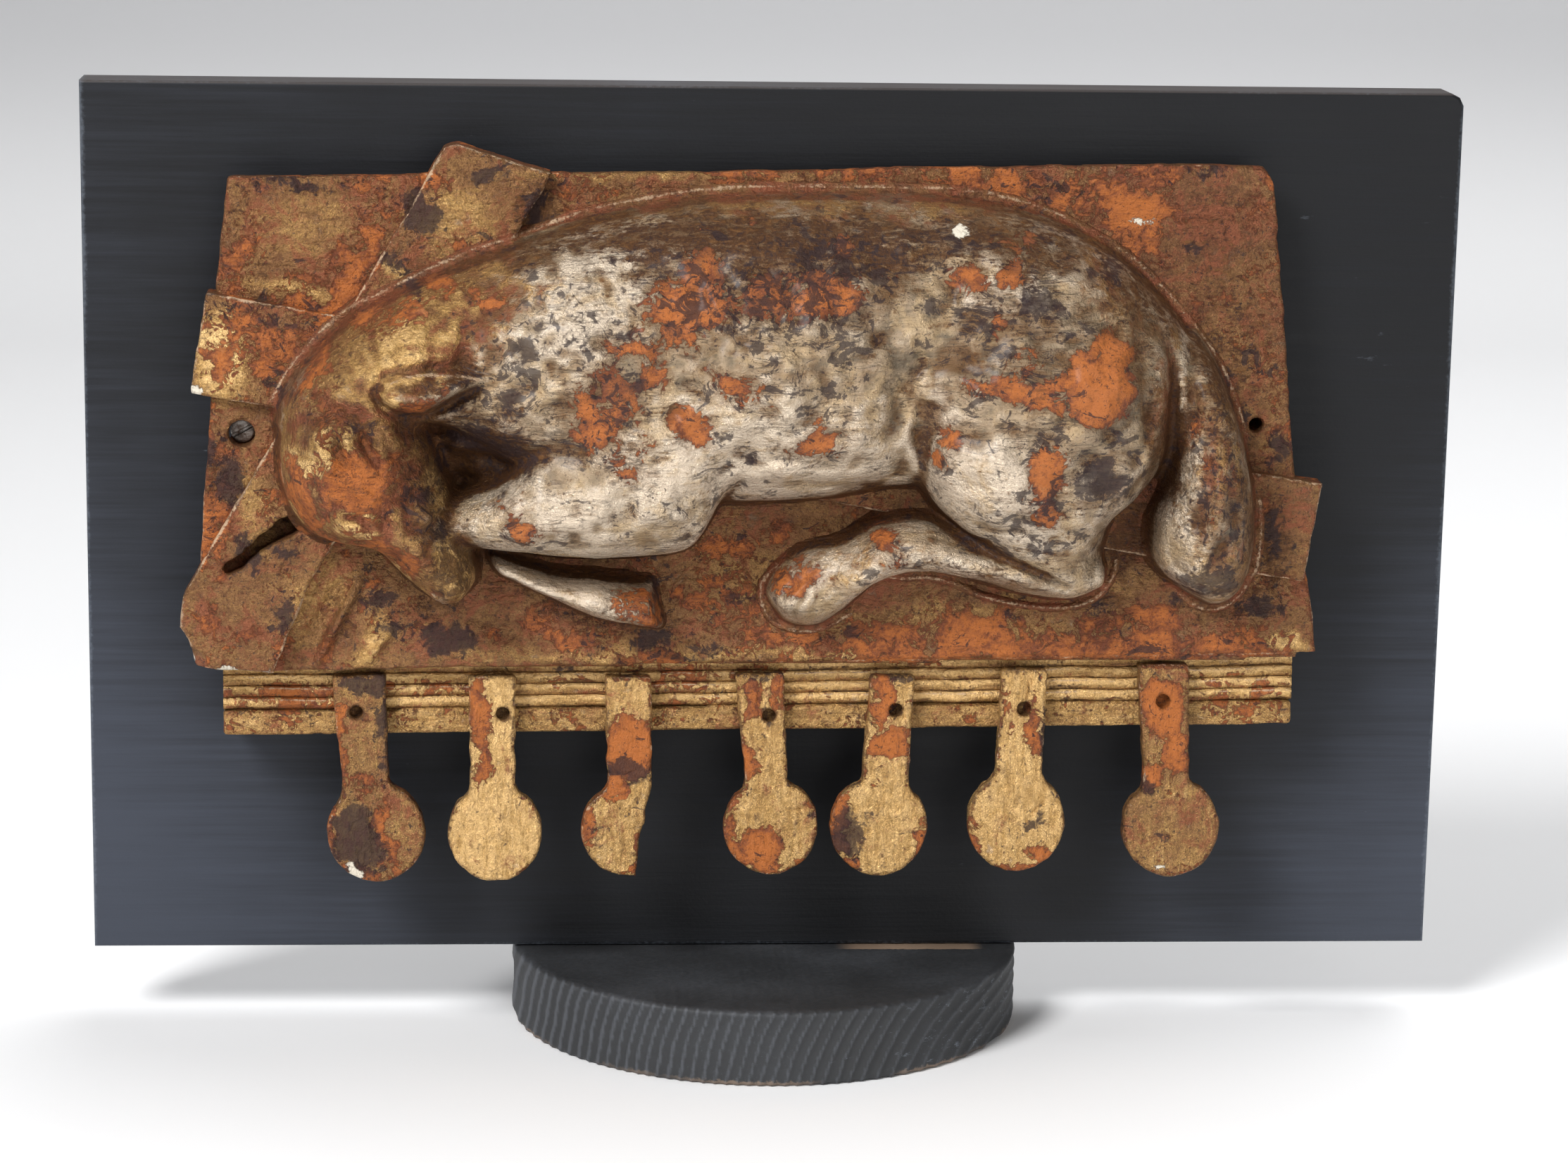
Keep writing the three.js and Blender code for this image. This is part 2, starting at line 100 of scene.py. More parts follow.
# Each station of a carved form crosses it from one edge point to the other, and gives the height of its
# crest, the crest's share of the way across, and how square the crossing is
FORMS = {
    "torso": [
        ((-144.4, 184.5), (-108, 178), 48, 0.5, 2.2),
        ((-141.5, 195), (-105, 184), 56, 0.5, 2.2),
        ((-134.4, 205), (-100, 187), 58, 0.5, 2.2),
        ((-121.5, 217), (-93, 185), 56.5, 0.5, 2.2),
        ((-103, 226.6), (-83, 178), 55, 0.5, 2.2),
        ((-84, 234.4), (-70, 170), 55, 0.53, 2.2),
        ((-57, 243.4), (-50, 163), 57, 0.56, 2.2),
        ((-22, 250), (-20, 163), 58.5, 0.56, 2.2),
        ((14, 251.2), (8, 164), 57.5, 0.56, 2.2),
        ((46, 250.7), (38, 168), 54.5, 0.56, 2.2),
        ((78, 244.3), (66, 165), 54, 0.54, 2.2),
        ((100, 232), (88, 166), 52, 0.5, 2.2),
        ((117, 214), (102, 168), 46, 0.5, 2.2),
        ((128.4, 198), (114, 170), 36, 0.5, 2.2),
    ],
    "head": [
        ((-131, 198), (-112, 201), 46, 0.5, 2.2),
        ((-140, 191), (-103, 196), 57, 0.5, 2.2),
        ((-143.2, 179), (-98.5, 185), 61, 0.5, 2.2),
        ((-141.2, 166), (-94.5, 173), 61.6, 0.5, 2.2),
        ((-134, 155.6), (-91, 163), 60.6, 0.55, 2.2),
        ((-118, 152.6), (-88.6, 154.6), 58.5, 0.55, 2.2),
        ((-110, 145.6), (-87, 147.5), 56, 0.55, 2.2),
        ((-103, 139.4), (-86.8, 141.6), 53.5, 0.55, 2.2),
        ((-97, 136), (-90, 137.4), 49, 0.5, 2.2),
    ],
    "chest": [
        ((-12, 190), (-17.5, 163.5), 46, 0.5, 2.6),
        ((-18, 210), (-26, 150.6), 55, 0.55, 2.6),
        ((-38, 216), (-44, 147.8), 58.8, 0.6, 2.4),
        ((-60, 200), (-62, 147.6), 57.5, 0.6, 2.2),
        ((-80, 173), (-80, 149.8), 53, 0.5, 2.2),
        ((-98, 165), (-98, 151.5), 47, 0.5, 2.2),
    ],
    "lower_foreleg": [
        ((-84, 150), (-80, 142.6), 38, 0.5, 2.2),
        ((-66, 143.6), (-67, 136.6), 41.5, 0.5, 2.2),
        ((-51, 142), (-55, 131), 44, 0.5, 2.2),
        ((-42, 141), (-43, 128.4), 44.5, 0.5, 2.2),
        ((-36.8, 140.4), (-33.3, 126.8), 43, 0.5, 3),
    ],
    "haunch": [
        ((60, 236), (94, 230), 34, 0.5, 2.2),
        ((48, 224), (106, 215), 52, 0.45, 2.6),
        ((40, 208), (111.5, 204), 59, 0.42, 2.9),
        ((35.4, 190), (112.6, 191), 61, 0.42, 3),
        ((37.4, 177), (111, 179), 61, 0.42, 3),
        ((42.4, 166), (104, 168), 59, 0.45, 2.8),
        ((50.2, 158), (97, 160.6), 54.5, 0.48, 2.5),
        ((62, 149), (94, 152), 49, 0.5, 2.2),
        ((74, 141.4), (93, 143.6), 43, 0.5, 2.2),
    ],
    "hind_leg": [
        ((93.4, 152), (94, 139), 40, 0.5, 2.2),
        ((84, 154), (84, 135.6), 44.5, 0.5, 2.2),
        ((70, 154.6), (70, 137.4), 46, 0.5, 2.2),
        ((54, 156), (54, 142), 46.5, 0.5, 2.2),
        ((42, 160.4), (38, 143.4), 47, 0.5, 2.2),
        ((30, 159.4), (27, 139.8), 46, 0.5, 2.2),
        ((18, 153), (19, 132.4), 43, 0.5, 2.2),
        ((6.6, 149.6), (11, 127.4), 41, 0.5, 2.2),
        ((-1, 142.8), (2.6, 128.6), 38, 0.5, 2.2),
        ((-3.2, 138.6), (-2, 134), 33, 0.5, 2.2),
    ],
    "tail": [
        ((110, 211), (119.6, 214), 28, 0.5, 2.2),
        ((112.8, 200), (126.6, 202), 44, 0.5, 2.2),
        ((112.2, 182.6), (133.6, 183), 50, 0.5, 2.2),
        ((109.6, 169.8), (137, 167), 52, 0.5, 2.2),
        ((106.4, 160), (137.8, 152), 51, 0.5, 2.2),
        ((106.4, 151), (135.4, 140), 47, 0.5, 2.2),
        ((110, 144.4), (130.4, 134.4), 41, 0.5, 2.2),
        ((117.6, 139), (125.6, 133.8), 34, 0.5, 2.2),
    ],
    "ear": [
        ((-113, 199.6), (-112.4, 196.4), 53, 0.5, 2.2),
        ((-108, 204.6), (-107, 194.6), 58.5, 0.5, 2.2),
        ((-99, 206), (-100, 193.4), 60, 0.5, 2.2),
        ((-91, 205.2), (-92.4, 197), 58, 0.5, 2.2),
        ((-84, 203.2), (-84.6, 201.2), 54, 0.5, 2.2),
    ],
}
# How softly each form runs into those before it
BLENDS = {
    "torso": 1.0, "head": 2.5, "chest": 5.0, "lower_foreleg": 1.5, "haunch": 1.6, "hind_leg": 2.5,
    "tail": 1.2, "ear": 0.8,
}
# Hollows scooped out of the lamb and bosses laid on it: centre, half lengths, turn in degrees
SCOOPS = [
    ((-84, 180, 58), (15, 4.6, 13), -8),
    ((-99, 201.4, 62), (12.5, 3.2, 5.2), 1),
    ((58, 154.6, 52), (2.2, 2.2, 12), 0),
    ((37.5, 168.5, 52), (4, 3, 16), -50),
]
BOSSES = [
    ((-121.5, 162.8, 59.4), (5.0, 3.0, 3.2), -20),
    ((-101.8, 164.4, 58.0), (3.4, 3.2, 2.8), -20),
    ((-119, 188.4, 56.6), (10, 4.6, 4.4), 6),
    ((-128.6, 186.0, 55.6), (5, 3.6, 4.0), 40),
    ((-111.5, 185.4, 56.0), (5, 3.4, 4.0), -30),
]

# Swellings and hollows of the lamb's body: centre, half lengths, turn in degrees, rise
SWELLS = [
    (-60, 221, 20, 13, 20, 3.2), (-30, 205, 9, 26, -18, -2.4), (2, 207, 20, 26, 0, 1.8), (31, 204, 9, 24, 10, -1.9),
    (62, 228, 17, 10, -18, 2.6), (104, 217, 8, 9, 0, -1.6), (-104, 213, 13, 8, 34, 2.2), (-85, 211, 6, 17, -24, -2.6),
    (82, 204, 17, 15, 0, 2.0), (60, 173, 11, 10, 0, 1.8), (-62, 160, 16, 6, 8, 1.4), (-34, 182, 10, 14, 0, 1.2),
    (118, 173, 3, 6, 0, 1.2), (124, 158, 4, 5, 20, 1.0), (116, 158, 3, 5, 0, 1.1),
    (121, 147, 5, 4, 0, 1.0), (128, 172, 3, 8, 0, 0.8), (131, 152, 3, 5, 0, 0.9), (20, 186, 14, 8, 0, 1.4), (-14, 236, 26, 5, 0, 1.2), (44, 214, 6, 12, -20, -1.4), (96, 176, 8, 10, 30, -1.4),
]

# Chisel strokes on the lamb: points, half width, rise above the form or depth below it
STROKES = [
    ("haunch rim", [(43, 214), (38.8, 203.8), (36, 195.7), (34.5, 188.3), (36.3, 180.4), (40, 172.6),
                    (46, 164.6), (53, 158.5), (61, 155)], 1.4, 0.9),
    ("groove before haunch", [(39, 214), (35.4, 203.4), (32.4, 195), (30.6, 187), (32, 178), (35.6, 171)], 3.0, -0.5),
    ("thigh rim", [(95, 216), (102, 215), (107.4, 210.4), (105.4, 202.7), (106.4, 194.1), (105.2, 187.9),
                   (102.8, 182.3), (98.4, 176), (92.4, 170.2), (88.5, 163.8), (87.2, 156.5)], 1.7, 1.0),
    ("groove inside thigh rim", [(100, 209), (101.2, 201), (101.8, 193), (100, 186), (96, 180)], 2.6, -1.0),
    ("groove beside tail", [(107, 214), (110.4, 205), (110.6, 196), (110.9, 187), (110.6, 178), (108.4, 169),
                            (103, 162.4)], 2.2, -4.4),
    ("tail ridge", [(112.6, 205), (113.6, 197), (115.2, 189.5), (115.4, 182.5), (113.2, 176), (111.6, 168.5),
                    (109.2, 160.6), (109, 152.6), (111.2, 147.6), (115.6, 143.6), (121.6, 140), (127, 137.8)], 1.4, 1.5),
    ("lock of tail", [(120, 196), (121, 184), (120, 172), (117.6, 162), (117, 153)], 2.0, -1.2),
    ("lock of tail", [(126, 188), (128, 176), (127.4, 164), (124.4, 153), (123.4, 146)], 2.0, -1.3),
    ("lock of tail", [(123.4, 180), (124.4, 170), (122, 160), (120.4, 150)], 1.7, 0.9),
    ("lock of tail", [(131.6, 176), (132.6, 164), (130, 152), (127, 144)], 1.7, 0.7),
    ("lock of tail", [(117.6, 190), (117.4, 178), (115.6, 168), (113.4, 158)], 1.6, 0.8),
    ("ledge under hind leg", [(30, 141), (36, 140.6), (43.6, 140.8), (51.2, 139.2), (58.8, 135.8), (67.9, 133.6),
                              (78.6, 132.2), (87.7, 132.9), (94, 136), (97.6, 141.2), (99, 147)], 0.9, 1.3),
    ("hind leg crease", [(40, 156.4), (46, 155.6), (53.4, 152.8), (65.2, 149.4), (75.7, 145.4), (83, 141.4)], 1.4, -2.6),
    ("tendon of hind leg", [(44, 150.2), (54, 148), (66, 144.6), (76, 141.4), (83, 139)], 1.3, 1.0),
    ("thigh fold", [(50, 166), (58, 160.8), (66, 160), (74, 157)], 1.5, -1.4),
    ("thigh fold", [(62, 170), (70, 166), (78, 160), (84, 153)], 1.8, 0.9),
    ("flank fold", [(-13, 178), (-4.3, 181.4), (8.2, 178.6), (20.6, 179.8), (30.4, 185)], 2.8, -1.2),
    ("flank fold", [(-12.5, 174), (0, 177.2), (12, 175.4), (25, 175.4), (33, 178)], 2.4, 0.8),
    ("belly fold", [(-13, 168.6), (0.2, 172.4), (12.8, 171), (26.1, 170.4), (34, 171.4)], 2.2, -1.1),
    ("elbow line", [(-14, 177.6), (-17.8, 170), (-21, 163), (-24.8, 156), (-28.8, 150.6)], 1.3, 1.2),
    ("behind elbow", [(-11, 176), (-13.6, 169.6), (-16.4, 162)], 1.6, -2.0),
    ("foreleg muscle", [(-82, 160), (-68, 158), (-54, 160), (-42, 167), (-34, 178)], 3.4, -1.2),
    ("foreleg muscle", [(-86, 166), (-72, 166.4), (-58, 169), (-46, 176)], 3.0, 0.9),
    ("shoulder hollow", [(-30, 206), (-22, 196), (-16.5, 186)], 3.2, -1.0),
    ("rib", [(-8, 222), (-2, 208), (0, 194), (-2, 184)], 3.4, 0.7),
    ("rib", [(6, 224), (12, 210), (14, 196), (12, 185)], 3.4, 0.6),
    ("rib", [(20, 226), (25, 212), (26, 198), (24, 187)], 3.4, 0.5),
    ("spine", [(-100, 222), (-70, 232), (-30, 239), (10, 241.6), (50, 239), (80, 231), (102, 217)], 3.2, 1.1),
    ("beside spine", [(-96, 214), (-66, 224), (-26, 231), (12, 233), (48, 230), (76, 222)], 3.6, -0.9),
    ("jaw", [(-141.6, 176), (-140.2, 166.4), (-136.6, 158), (-130.4, 153.6), (-122, 154), (-114.2, 152.6),
             (-109, 146), (-104.2, 140)], 1.5, 2.2),
    ("under jaw edge", [(-137, 169), (-133.4, 161), (-127, 157.4), (-118, 157.6), (-110.4, 154), (-105.4, 147)], 1.5, -1.3),
    ("left eyelid", [(-127.6, 162.6), (-125, 166.4), (-120.6, 167), (-116, 165), (-113.6, 161.4)], 0.8, 1.1),
    ("left lower lid", [(-127.4, 161.4), (-123.6, 159), (-118, 159), (-114, 160.4)], 0.8, 0.8),
    ("left brow", [(-130, 167), (-125.6, 171.6), (-118.6, 172.4), (-112.4, 169)], 1.4, 1.1),
    ("right eyelid", [(-105.6, 165.8), (-102.2, 168.8), (-98.4, 167.6), (-96.4, 164.4)], 0.8, 1.0),
    ("right brow", [(-108.4, 170), (-103.6, 173.6), (-98.4, 172.4), (-95, 169)], 1.3, 1.0),
    ("bridge of nose", [(-112.6, 176), (-109.4, 166), (-104.4, 156), (-98.6, 147), (-95.4, 141.6)], 2.6, 1.3),
    ("left cheek", [(-127, 154.8), (-119, 156), (-112, 151.4), (-106.8, 144.4)], 1.8, -1.1),
    ("right cheek", [(-97.8, 160), (-94.6, 153), (-91.8, 147)], 1.8, -1.6),
    ("mouth", [(-106.6, 141.6), (-102, 138.6), (-97.4, 137.8), (-92.6, 139.6), (-89.4, 143.4)], 0.9, -2.0),
    ("nostril", [(-99.4, 142.6), (-97.2, 141), (-95.8, 142.4)], 0.8, -1.6),
    ("nostril", [(-91.4, 144.2), (-90.2, 146.4), (-91.4, 148.4)], 0.8, -1.8),
    ("lip", [(-105.2, 139.2), (-100.6, 136.4), (-95.6, 135.8), (-91, 138)], 0.9, 0.9),
    ("forelock", [(-124, 190), (-121, 184), (-117, 180)], 1.5, 2.2),
    ("forelock", [(-114, 189), (-112.6, 183), (-110, 178)], 1.4, 2.0),
    ("forelock", [(-130.6, 187), (-128.4, 181), (-126, 177)], 1.4, 1.8),
    ("forelock gap", [(-119, 190), (-116.8, 184), (-114, 179)], 1.3, -2.4),
    ("forelock gap", [(-127, 188.6), (-124.4, 182), (-122, 178)], 1.3, -2.2),
    ("split of the fore hoof", [(-40.6, 135.6), (-34.6, 132.6)], 0.7, -1.5),
    ("fetlock", [(-47.4, 141), (-49.6, 134), (-50.6, 130)], 1.2, -1.0),
    ("split of the hind hoof", [(-1.6, 137), (5, 141.6), (10, 146)], 0.8, -1.4),
    ("hind hoof ring", [(1.6, 129.6), (-0.6, 134), (2.4, 140), (7.6, 146)], 1.0, -0.9),
    ("hind hoof ring", [(5.8, 128.6), (4.2, 133.4), (7, 139.4), (12, 145)], 1.0, -0.8),
    ("hind hoof ring", [(10.4, 129), (9, 133.4), (11.8, 139), (16, 144)], 1.0, -0.7),
    ("ledge along the back", [(-147, 188), (-140.8, 199.6), (-131, 211.4), (-123, 218), (-113.8, 222.8),
                              (-100, 229.6), (-84.8, 236), (-69.2, 240.8), (-57, 245.4), (-22.2, 252), (20.4, 253.2),
                              (56.4, 252), (78.4, 246.3), (100.4, 234.4), (115.4, 219.8), (129.2, 201), (137.2, 179)],
     0.8, 1.1),
    ("ledge round the hind hoof", [(22, 130.4), (12.8, 125.8), (5, 125.6), (-1.2, 128.2), (-4.6, 134),
                                   (-4.4, 139.4), (0, 145)], 0.8, 1.1),
    ("ledge round the tail", [(139.4, 166), (140, 154), (137.4, 140), (131.4, 133), (124, 132), (116, 137)], 0.8, 1.2),
]

# Ridges rubbed pale, partly wear and partly painted highlight
RIDGES_WORN_AND_HIGHLIGHTED = ("haunch rim", "thigh rim", "tail ridge", "jaw", "elbow line")

# The ear, a leaf-shaped plate on the neck, and the floor of the dark hollow between head and shoulder
EAR_OUTLINE = [
    (-113.4, 199.4), (-111.4, 202.6), (-107.6, 204.4), (-102, 205), (-95, 204.8), (-88.6, 204), (-83.6, 203),
    (-88.6, 200.8), (-93.4, 197.8), (-97.4, 195), (-101.4, 193.4), (-105.4, 193.6), (-109.4, 195.2), (-112.2, 197.2),
]
EAR_RISE = 4.4
EAR_HOLLOW = 3.2
HOLLOW_FLOOR = [(-86, 182, 16, 12, -10, 14)]

# Strokes on the book: the groove and ridges beside the cross, and the crack in its upper right
BOOK_STROKES = [
    ("channel", [(-124.6, 140), (-140.4, 110)], 2.4, -3.2),
    ("ridge", [(-119.4, 141.4), (-133, 115)], 1.2, 2.8),
    ("short ridge", [(-110.8, 125.8), (-118.6, 116)], 1.3, 2.4),
    ("crack", [(103, 244.2), (112, 243.7), (121, 244.3), (132, 243.5), (142, 243.8)], 0.55, -0.9),
    ("dent", [(-116.5, 135.5), (-113.5, 131.5)], 2.6, -1.0),
    ("hollow under muzzle", [(-92, 131), (-80, 126), (-66, 125)], 4.0, -0.9),
]
SLOT = ((-139.4, 156.6), (-157.4, 143.4))
SLOT_HALF = 2.2
SLOT_FLOOR = 4.0

# Seals: strap left, right and top; waist left, right and height; disc centre, half width; nail hole
SEAL_THICKNESS = 5.0
SEAL_TILT = ((46.5, 24.6), (113.0, 19.6))
DISC_STRETCH = 0.4
SHOULDER = 0.3
SHOULDER_RISE = 1.5
NAIL_HOLE = 2.0
SEALS = [
    ((-128.7, -112.6, 111.6), (-125.8, -111.6, 80.9), (-115.6, 65.2), 14.4, (-121.3, 100.7)),
    ((-89.3, -75.2, 111.2), (-88.6, -75.2, 80.9), (-81.3, 64.9), 14.0, (-79.1, 100.1)),
    ((-49.8, -35.7, 111.2), (-48.8, -35.5, 80.8), (-43.2, 65.7), 13.2, None),
    ((-12, 2.7, 112), (-8.6, 4.2, 80.4), (-0.9, 66.8), 14.0, (-1.8, 99.7)),
    ((27.6, 41, 111.6), (25.4, 39.6, 80.6), (30.7, 66.8), 14.5, (35.2, 101.3)),
    ((65.9, 80, 113.2), (64.8, 78.9, 84.2), (71.3, 68.2), 14.6, (72.9, 101.5)),
    ((106, 121.5, 115), (108.4, 122.4, 82.1), (116.9, 66.4), 14.6, (113.9, 103.8)),
]
BROKEN_SEAL = 2
BROKEN_EDGE = [(-35.6, 78.3), (-37.3, 70.6), (-38.9, 62.5), (-40.2, 51.2)]
BROKEN_RIM_TURN = 1.56 * math.pi

SCREW_AT = (-153.7, 181.4)
SCREW_HEAD = 3.5
SCREW_SEAT = 13.0
SCREW_HEAD_HEIGHT = 2.2
SCREW_SLOT = 1.0
SLOT_TURN = 0.5
EMPTY_HOLE = (138.9, 185.2)
EMPTY_HOLE_RADIUS = 2.1

# Patches on the lamb and the book: centre, half lengths and turn in degrees
WORN_ON_LAMB = [
    (-106, 150, 3, 4, -40), (-126, 172, 5, 4, 0), (-113, 181, 5, 2.4, 0), (-132, 160, 2, 6, -20), (-118, 216, 6, 2, 30),
    (87.3, 201.1, 11.1, 10.3, 0), (66.0, 201.0, 13.5, 3.2, -8), (91.0, 210.8, 6.0, 5.2, 0),
    (72.9, 176.4, 5.1, 9.1, 0), (73.4, 167.4, 5.9, 2.8, 0), (46.3, 185.9, 3.4, 2.4, 0),
    (41.2, 180.6, 1.8, 1.2, 0), (-54.2, 187.7, 4.8, 4.8, 0), (-46.3, 194.6, 3.4, 3.2, 0),
    (-28.2, 189.7, 5.2, 4.8, 0), (-39.8, 184.9, 1.4, 1.6, 0), (-44.6, 177.2, 2.6, 3.0, 0),
    (-48.6, 182.0, 1.0, 1.2, 0), (8.6, 186.3, 6.4, 4.0, 0), (-75.3, 164.0, 2.8, 4.0, 0),
    (-72.6, 160.6, 3.2, 2.4, 0), (-37.0, 131.7, 3.4, 4.0, 0), (-17.1, 203.9, 7.5, 2.6, -25),
    (-23.1, 232.6, 6.8, 4.4, 0), (-33.3, 222.9, 6.8, 6.0, 0), (-44.3, 210.8, 6.7, 2.6, 0),
    (-39.1, 203.7, 5.2, 4.0, 0), (-50.3, 201.7, 3.6, 5.2, 0), (-55.3, 194.9, 4.4, 6.0, 0),
    (-2.0, 227.8, 6.8, 3.2, 0), (5.9, 225.1, 8.0, 4.0, 0), (15.7, 226.0, 5.6, 4.4, 0),
    (15.2, 238.9, 2.0, 2.0, 0), (-9.8, 244.0, 1.2, 1.0, 0), (30.1, 155.7, 4.0, 3.2, 0),
    (31.2, 149.9, 2.4, 1.4, 0), (5.6, 142.7, 6.8, 3.2, 40), (49.7, 231.5, 4.8, 2.8, 0),
    (63.8, 233.2, 3.2, 3.6, 0), (66.6, 240.1, 4.4, 2.0, 0), (59.8, 220.2, 1.2, 2.8, 0),
    (67.9, 212.5, 1.2, 1.8, 0), (119.6, 162.8, 1.0, 1.6, 0), (-98.0, 227.6, 6.1, 2.4, 0),
    (-84.1, 225.0, 4.4, 1.6, 0), (-103.7, 220.6, 4.4, 2.4, 0), (-119.7, 175.7, 9.9, 8.7, 0),
    (-141.7, 165.6, 1.4, 6.9, 12), (-136.2, 152.5, 1.6, 6.1, -40), (-123.3, 156.1, 8.0, 1.6, 4),
    (-112.7, 144.6, 2.0, 5.3, -30), (-99.2, 133.4, 2.0, 1.8, 0), (-126.8, 187.5, 2.6, 3.2, 0),
    (-116.5, 183.9, 2.0, 3.2, 0), (-102.4, 195.7, 2.8, 2.0, 0), (-95.9, 199.5, 1.0, 1.8, 0),
]
STAINS_ON_LAMB = [
    (126.5, 143, 5, 4, 20), (132, 160, 2.4, 7, 0), (119, 170, 1.6, 5, 10), (-101, 168, 3, 5, 10), (-97, 158, 2.4, 4, 10),
    (-122, 190, 3, 1.8, 10), (-116, 188, 1.6, 2.6, 0), (-108, 166, 1.4, 3, 30), (-106, 224, 3.6, 2, 0), (-72, 232, 4, 2, 16),
    (-39.1, 229.0, 3.6, 1.6, 0), (-45.0, 216.8, 4.0, 2.8, 0), (-49.2, 235.9, 3.0, 1.6, 0),
    (-56.5, 208.5, 3.2, 2.4, 0), (-73.1, 211.3, 4.0, 5.0, 30), (-67.1, 215.6, 2.4, 2.4, 0),
    (-73.1, 224.2, 2.8, 2.0, 0), (-88.8, 223.6, 2.0, 1.6, 0), (-93.8, 219.0, 2.4, 1.4, 0),
    (-87.1, 228.5, 3.2, 1.2, 0), (-57.9, 215.1, 1.6, 1.6, 0), (4.2, 200.3, 2.4, 2.0, 0),
    (-13.8, 215.8, 3.2, 1.2, 0), (-7.0, 217.3, 2.8, 1.4, 0), (1.1, 191.6, 1.4, 1.2, 0),
    (14.8, 191.0, 1.6, 1.4, 0), (-9.2, 180.9, 4.0, 2.0, -30), (-16.0, 184.5, 0.8, 0.8, 0),
    (-33.1, 168.2, 2.8, 1.2, 0), (-42.9, 158.2, 1.8, 1.6, 0), (-68.7, 154.9, 2.4, 1.2, 0),
    (-11.6, 167.4, 2.4, 1.2, 0), (39.5, 223.1, 4.8, 2.8, 0), (69.5, 224.9, 4.8, 4.0, 0),
    (62.6, 194.9, 1.2, 1.6, 0), (83.9, 181.2, 2.0, 1.6, 0), (90.9, 176.0, 4.8, 3.2, -20),
    (88.5, 179.2, 2.4, 2.0, 0), (88.0, 173.0, 2.4, 2.4, 0), (56.2, 156.8, 3.6, 1.8, 10),
    (63.3, 163.8, 4.0, 2.8, 0), (57.5, 165.9, 4.0, 1.2, 0), (69.0, 167.4, 1.6, 1.2, 0),
    (71.4, 156.9, 3.6, 1.6, 0), (84.1, 159.8, 3.0, 2.0, 0), (128.8, 173.6, 1.8, 1.8, 0),
    (129.9, 166.8, 1.6, 1.6, 0), (125.9, 144.3, 4.0, 4.0, 0), (129.4, 158.5, 2.8, 4.0, 0),
    (-13.8, 226.9, 2.0, 5.2, 0), (-4.4, 223.2, 2.4, 3.6, 0), (8.8, 223.2, 2.0, 1.6, 0),
    (12.7, 220.4, 1.6, 1.6, 0), (20.7, 225.1, 1.6, 4.0, 0), (-32.4, 217.3, 2.4, 2.8, 0),
    (-42.1, 201.6, 2.8, 2.8, 0), (-45.0, 205.5, 2.4, 2.0, 0), (42.8, 234.2, 4.0, 1.6, 0),
    (93.5, 232.7, 6.1, 3.2, 30), (87.5, 217.2, 2.4, 2.0, 0), (37.6, 212.1, 2.8, 2.4, 0),
]
WORN_ON_BOOK = [
    (-134.1, 225.3, 6.6, 1.6, -6), (-123.7, 232.6, 3.7, 7.0, -38), (-119.1, 240.6, 1.6, 4.5, -38),
    (-153.0, 232.8, 4.1, 2.9, 0), (-157.1, 234.3, 1.6, 5.3, 0), (-119.1, 251.9, 2.5, 2.1, 0),
    (-158.6, 201.5, 5.3, 8.2, -10), (-155.8, 211.5, 5.3, 2.9, 0), (-163.4, 204.5, 2.9, 2.9, 0),
    (-100.1, 252.6, 2.9, 1.4, 0), (-94.1, 237.8, 2.9, 1.2, 0), (101.3, 247, 11.5, 8.5, 0), (106.5, 257.4, 16, 4, 0), (106.3, 238, 4.4, 8, 10), (84, 247.6, 10, 2.6, -20),
    (74.9, 254.1, 4.1, 1.6, 0),
    (120.6, 220.6, 2.0, 2.9, 0), (126.7, 222.7, 2.5, 2.0, 0), (118.6, 215.5, 2.0, 1.6, 0),
    (60.8, 127.5, 18.3, 4.9, 0), (30.1, 124.4, 12.2, 3.7, 0), (91.7, 126.6, 8.1, 4.1, 0),
    (110.3, 128.7, 12.2, 4.1, 0), (-4.7, 123.4, 6.1, 1.6, 0), (15.8, 118.2, 8.1, 1.6, 0),
    (-35.2, 117.2, 5.3, 1.6, 0), (-59.7, 123.3, 6.9, 2.8, 0), (-69.8, 128.4, 5.7, 3.3, 0),
    (-82.0, 123.3, 5.3, 1.6, 0), (-128.3, 121.7, 2.4, 3.2, 0), (-129.5, 116.1, 2.0, 2.0, 0),
    (-158.2, 139.3, 3.2, 2.0, 0), (-162.3, 129.2, 3.7, 3.2, 0), (-152.3, 124.2, 4.9, 2.0, 0),
    (-142.3, 119.1, 2.4, 4.5, -20), (139.7, 160.4, 1.6, 4.1, 0), (146.7, 123.5, 4.1, 2.0, 0),
    (0.1, 154.0, 6.1, 3.3, 0), (-15.1, 150.9, 4.9, 2.0, 0), (-25.2, 134.6, 5.3, 2.4, 0),
    (-19.1, 140.7, 4.1, 2.0, 0),
]
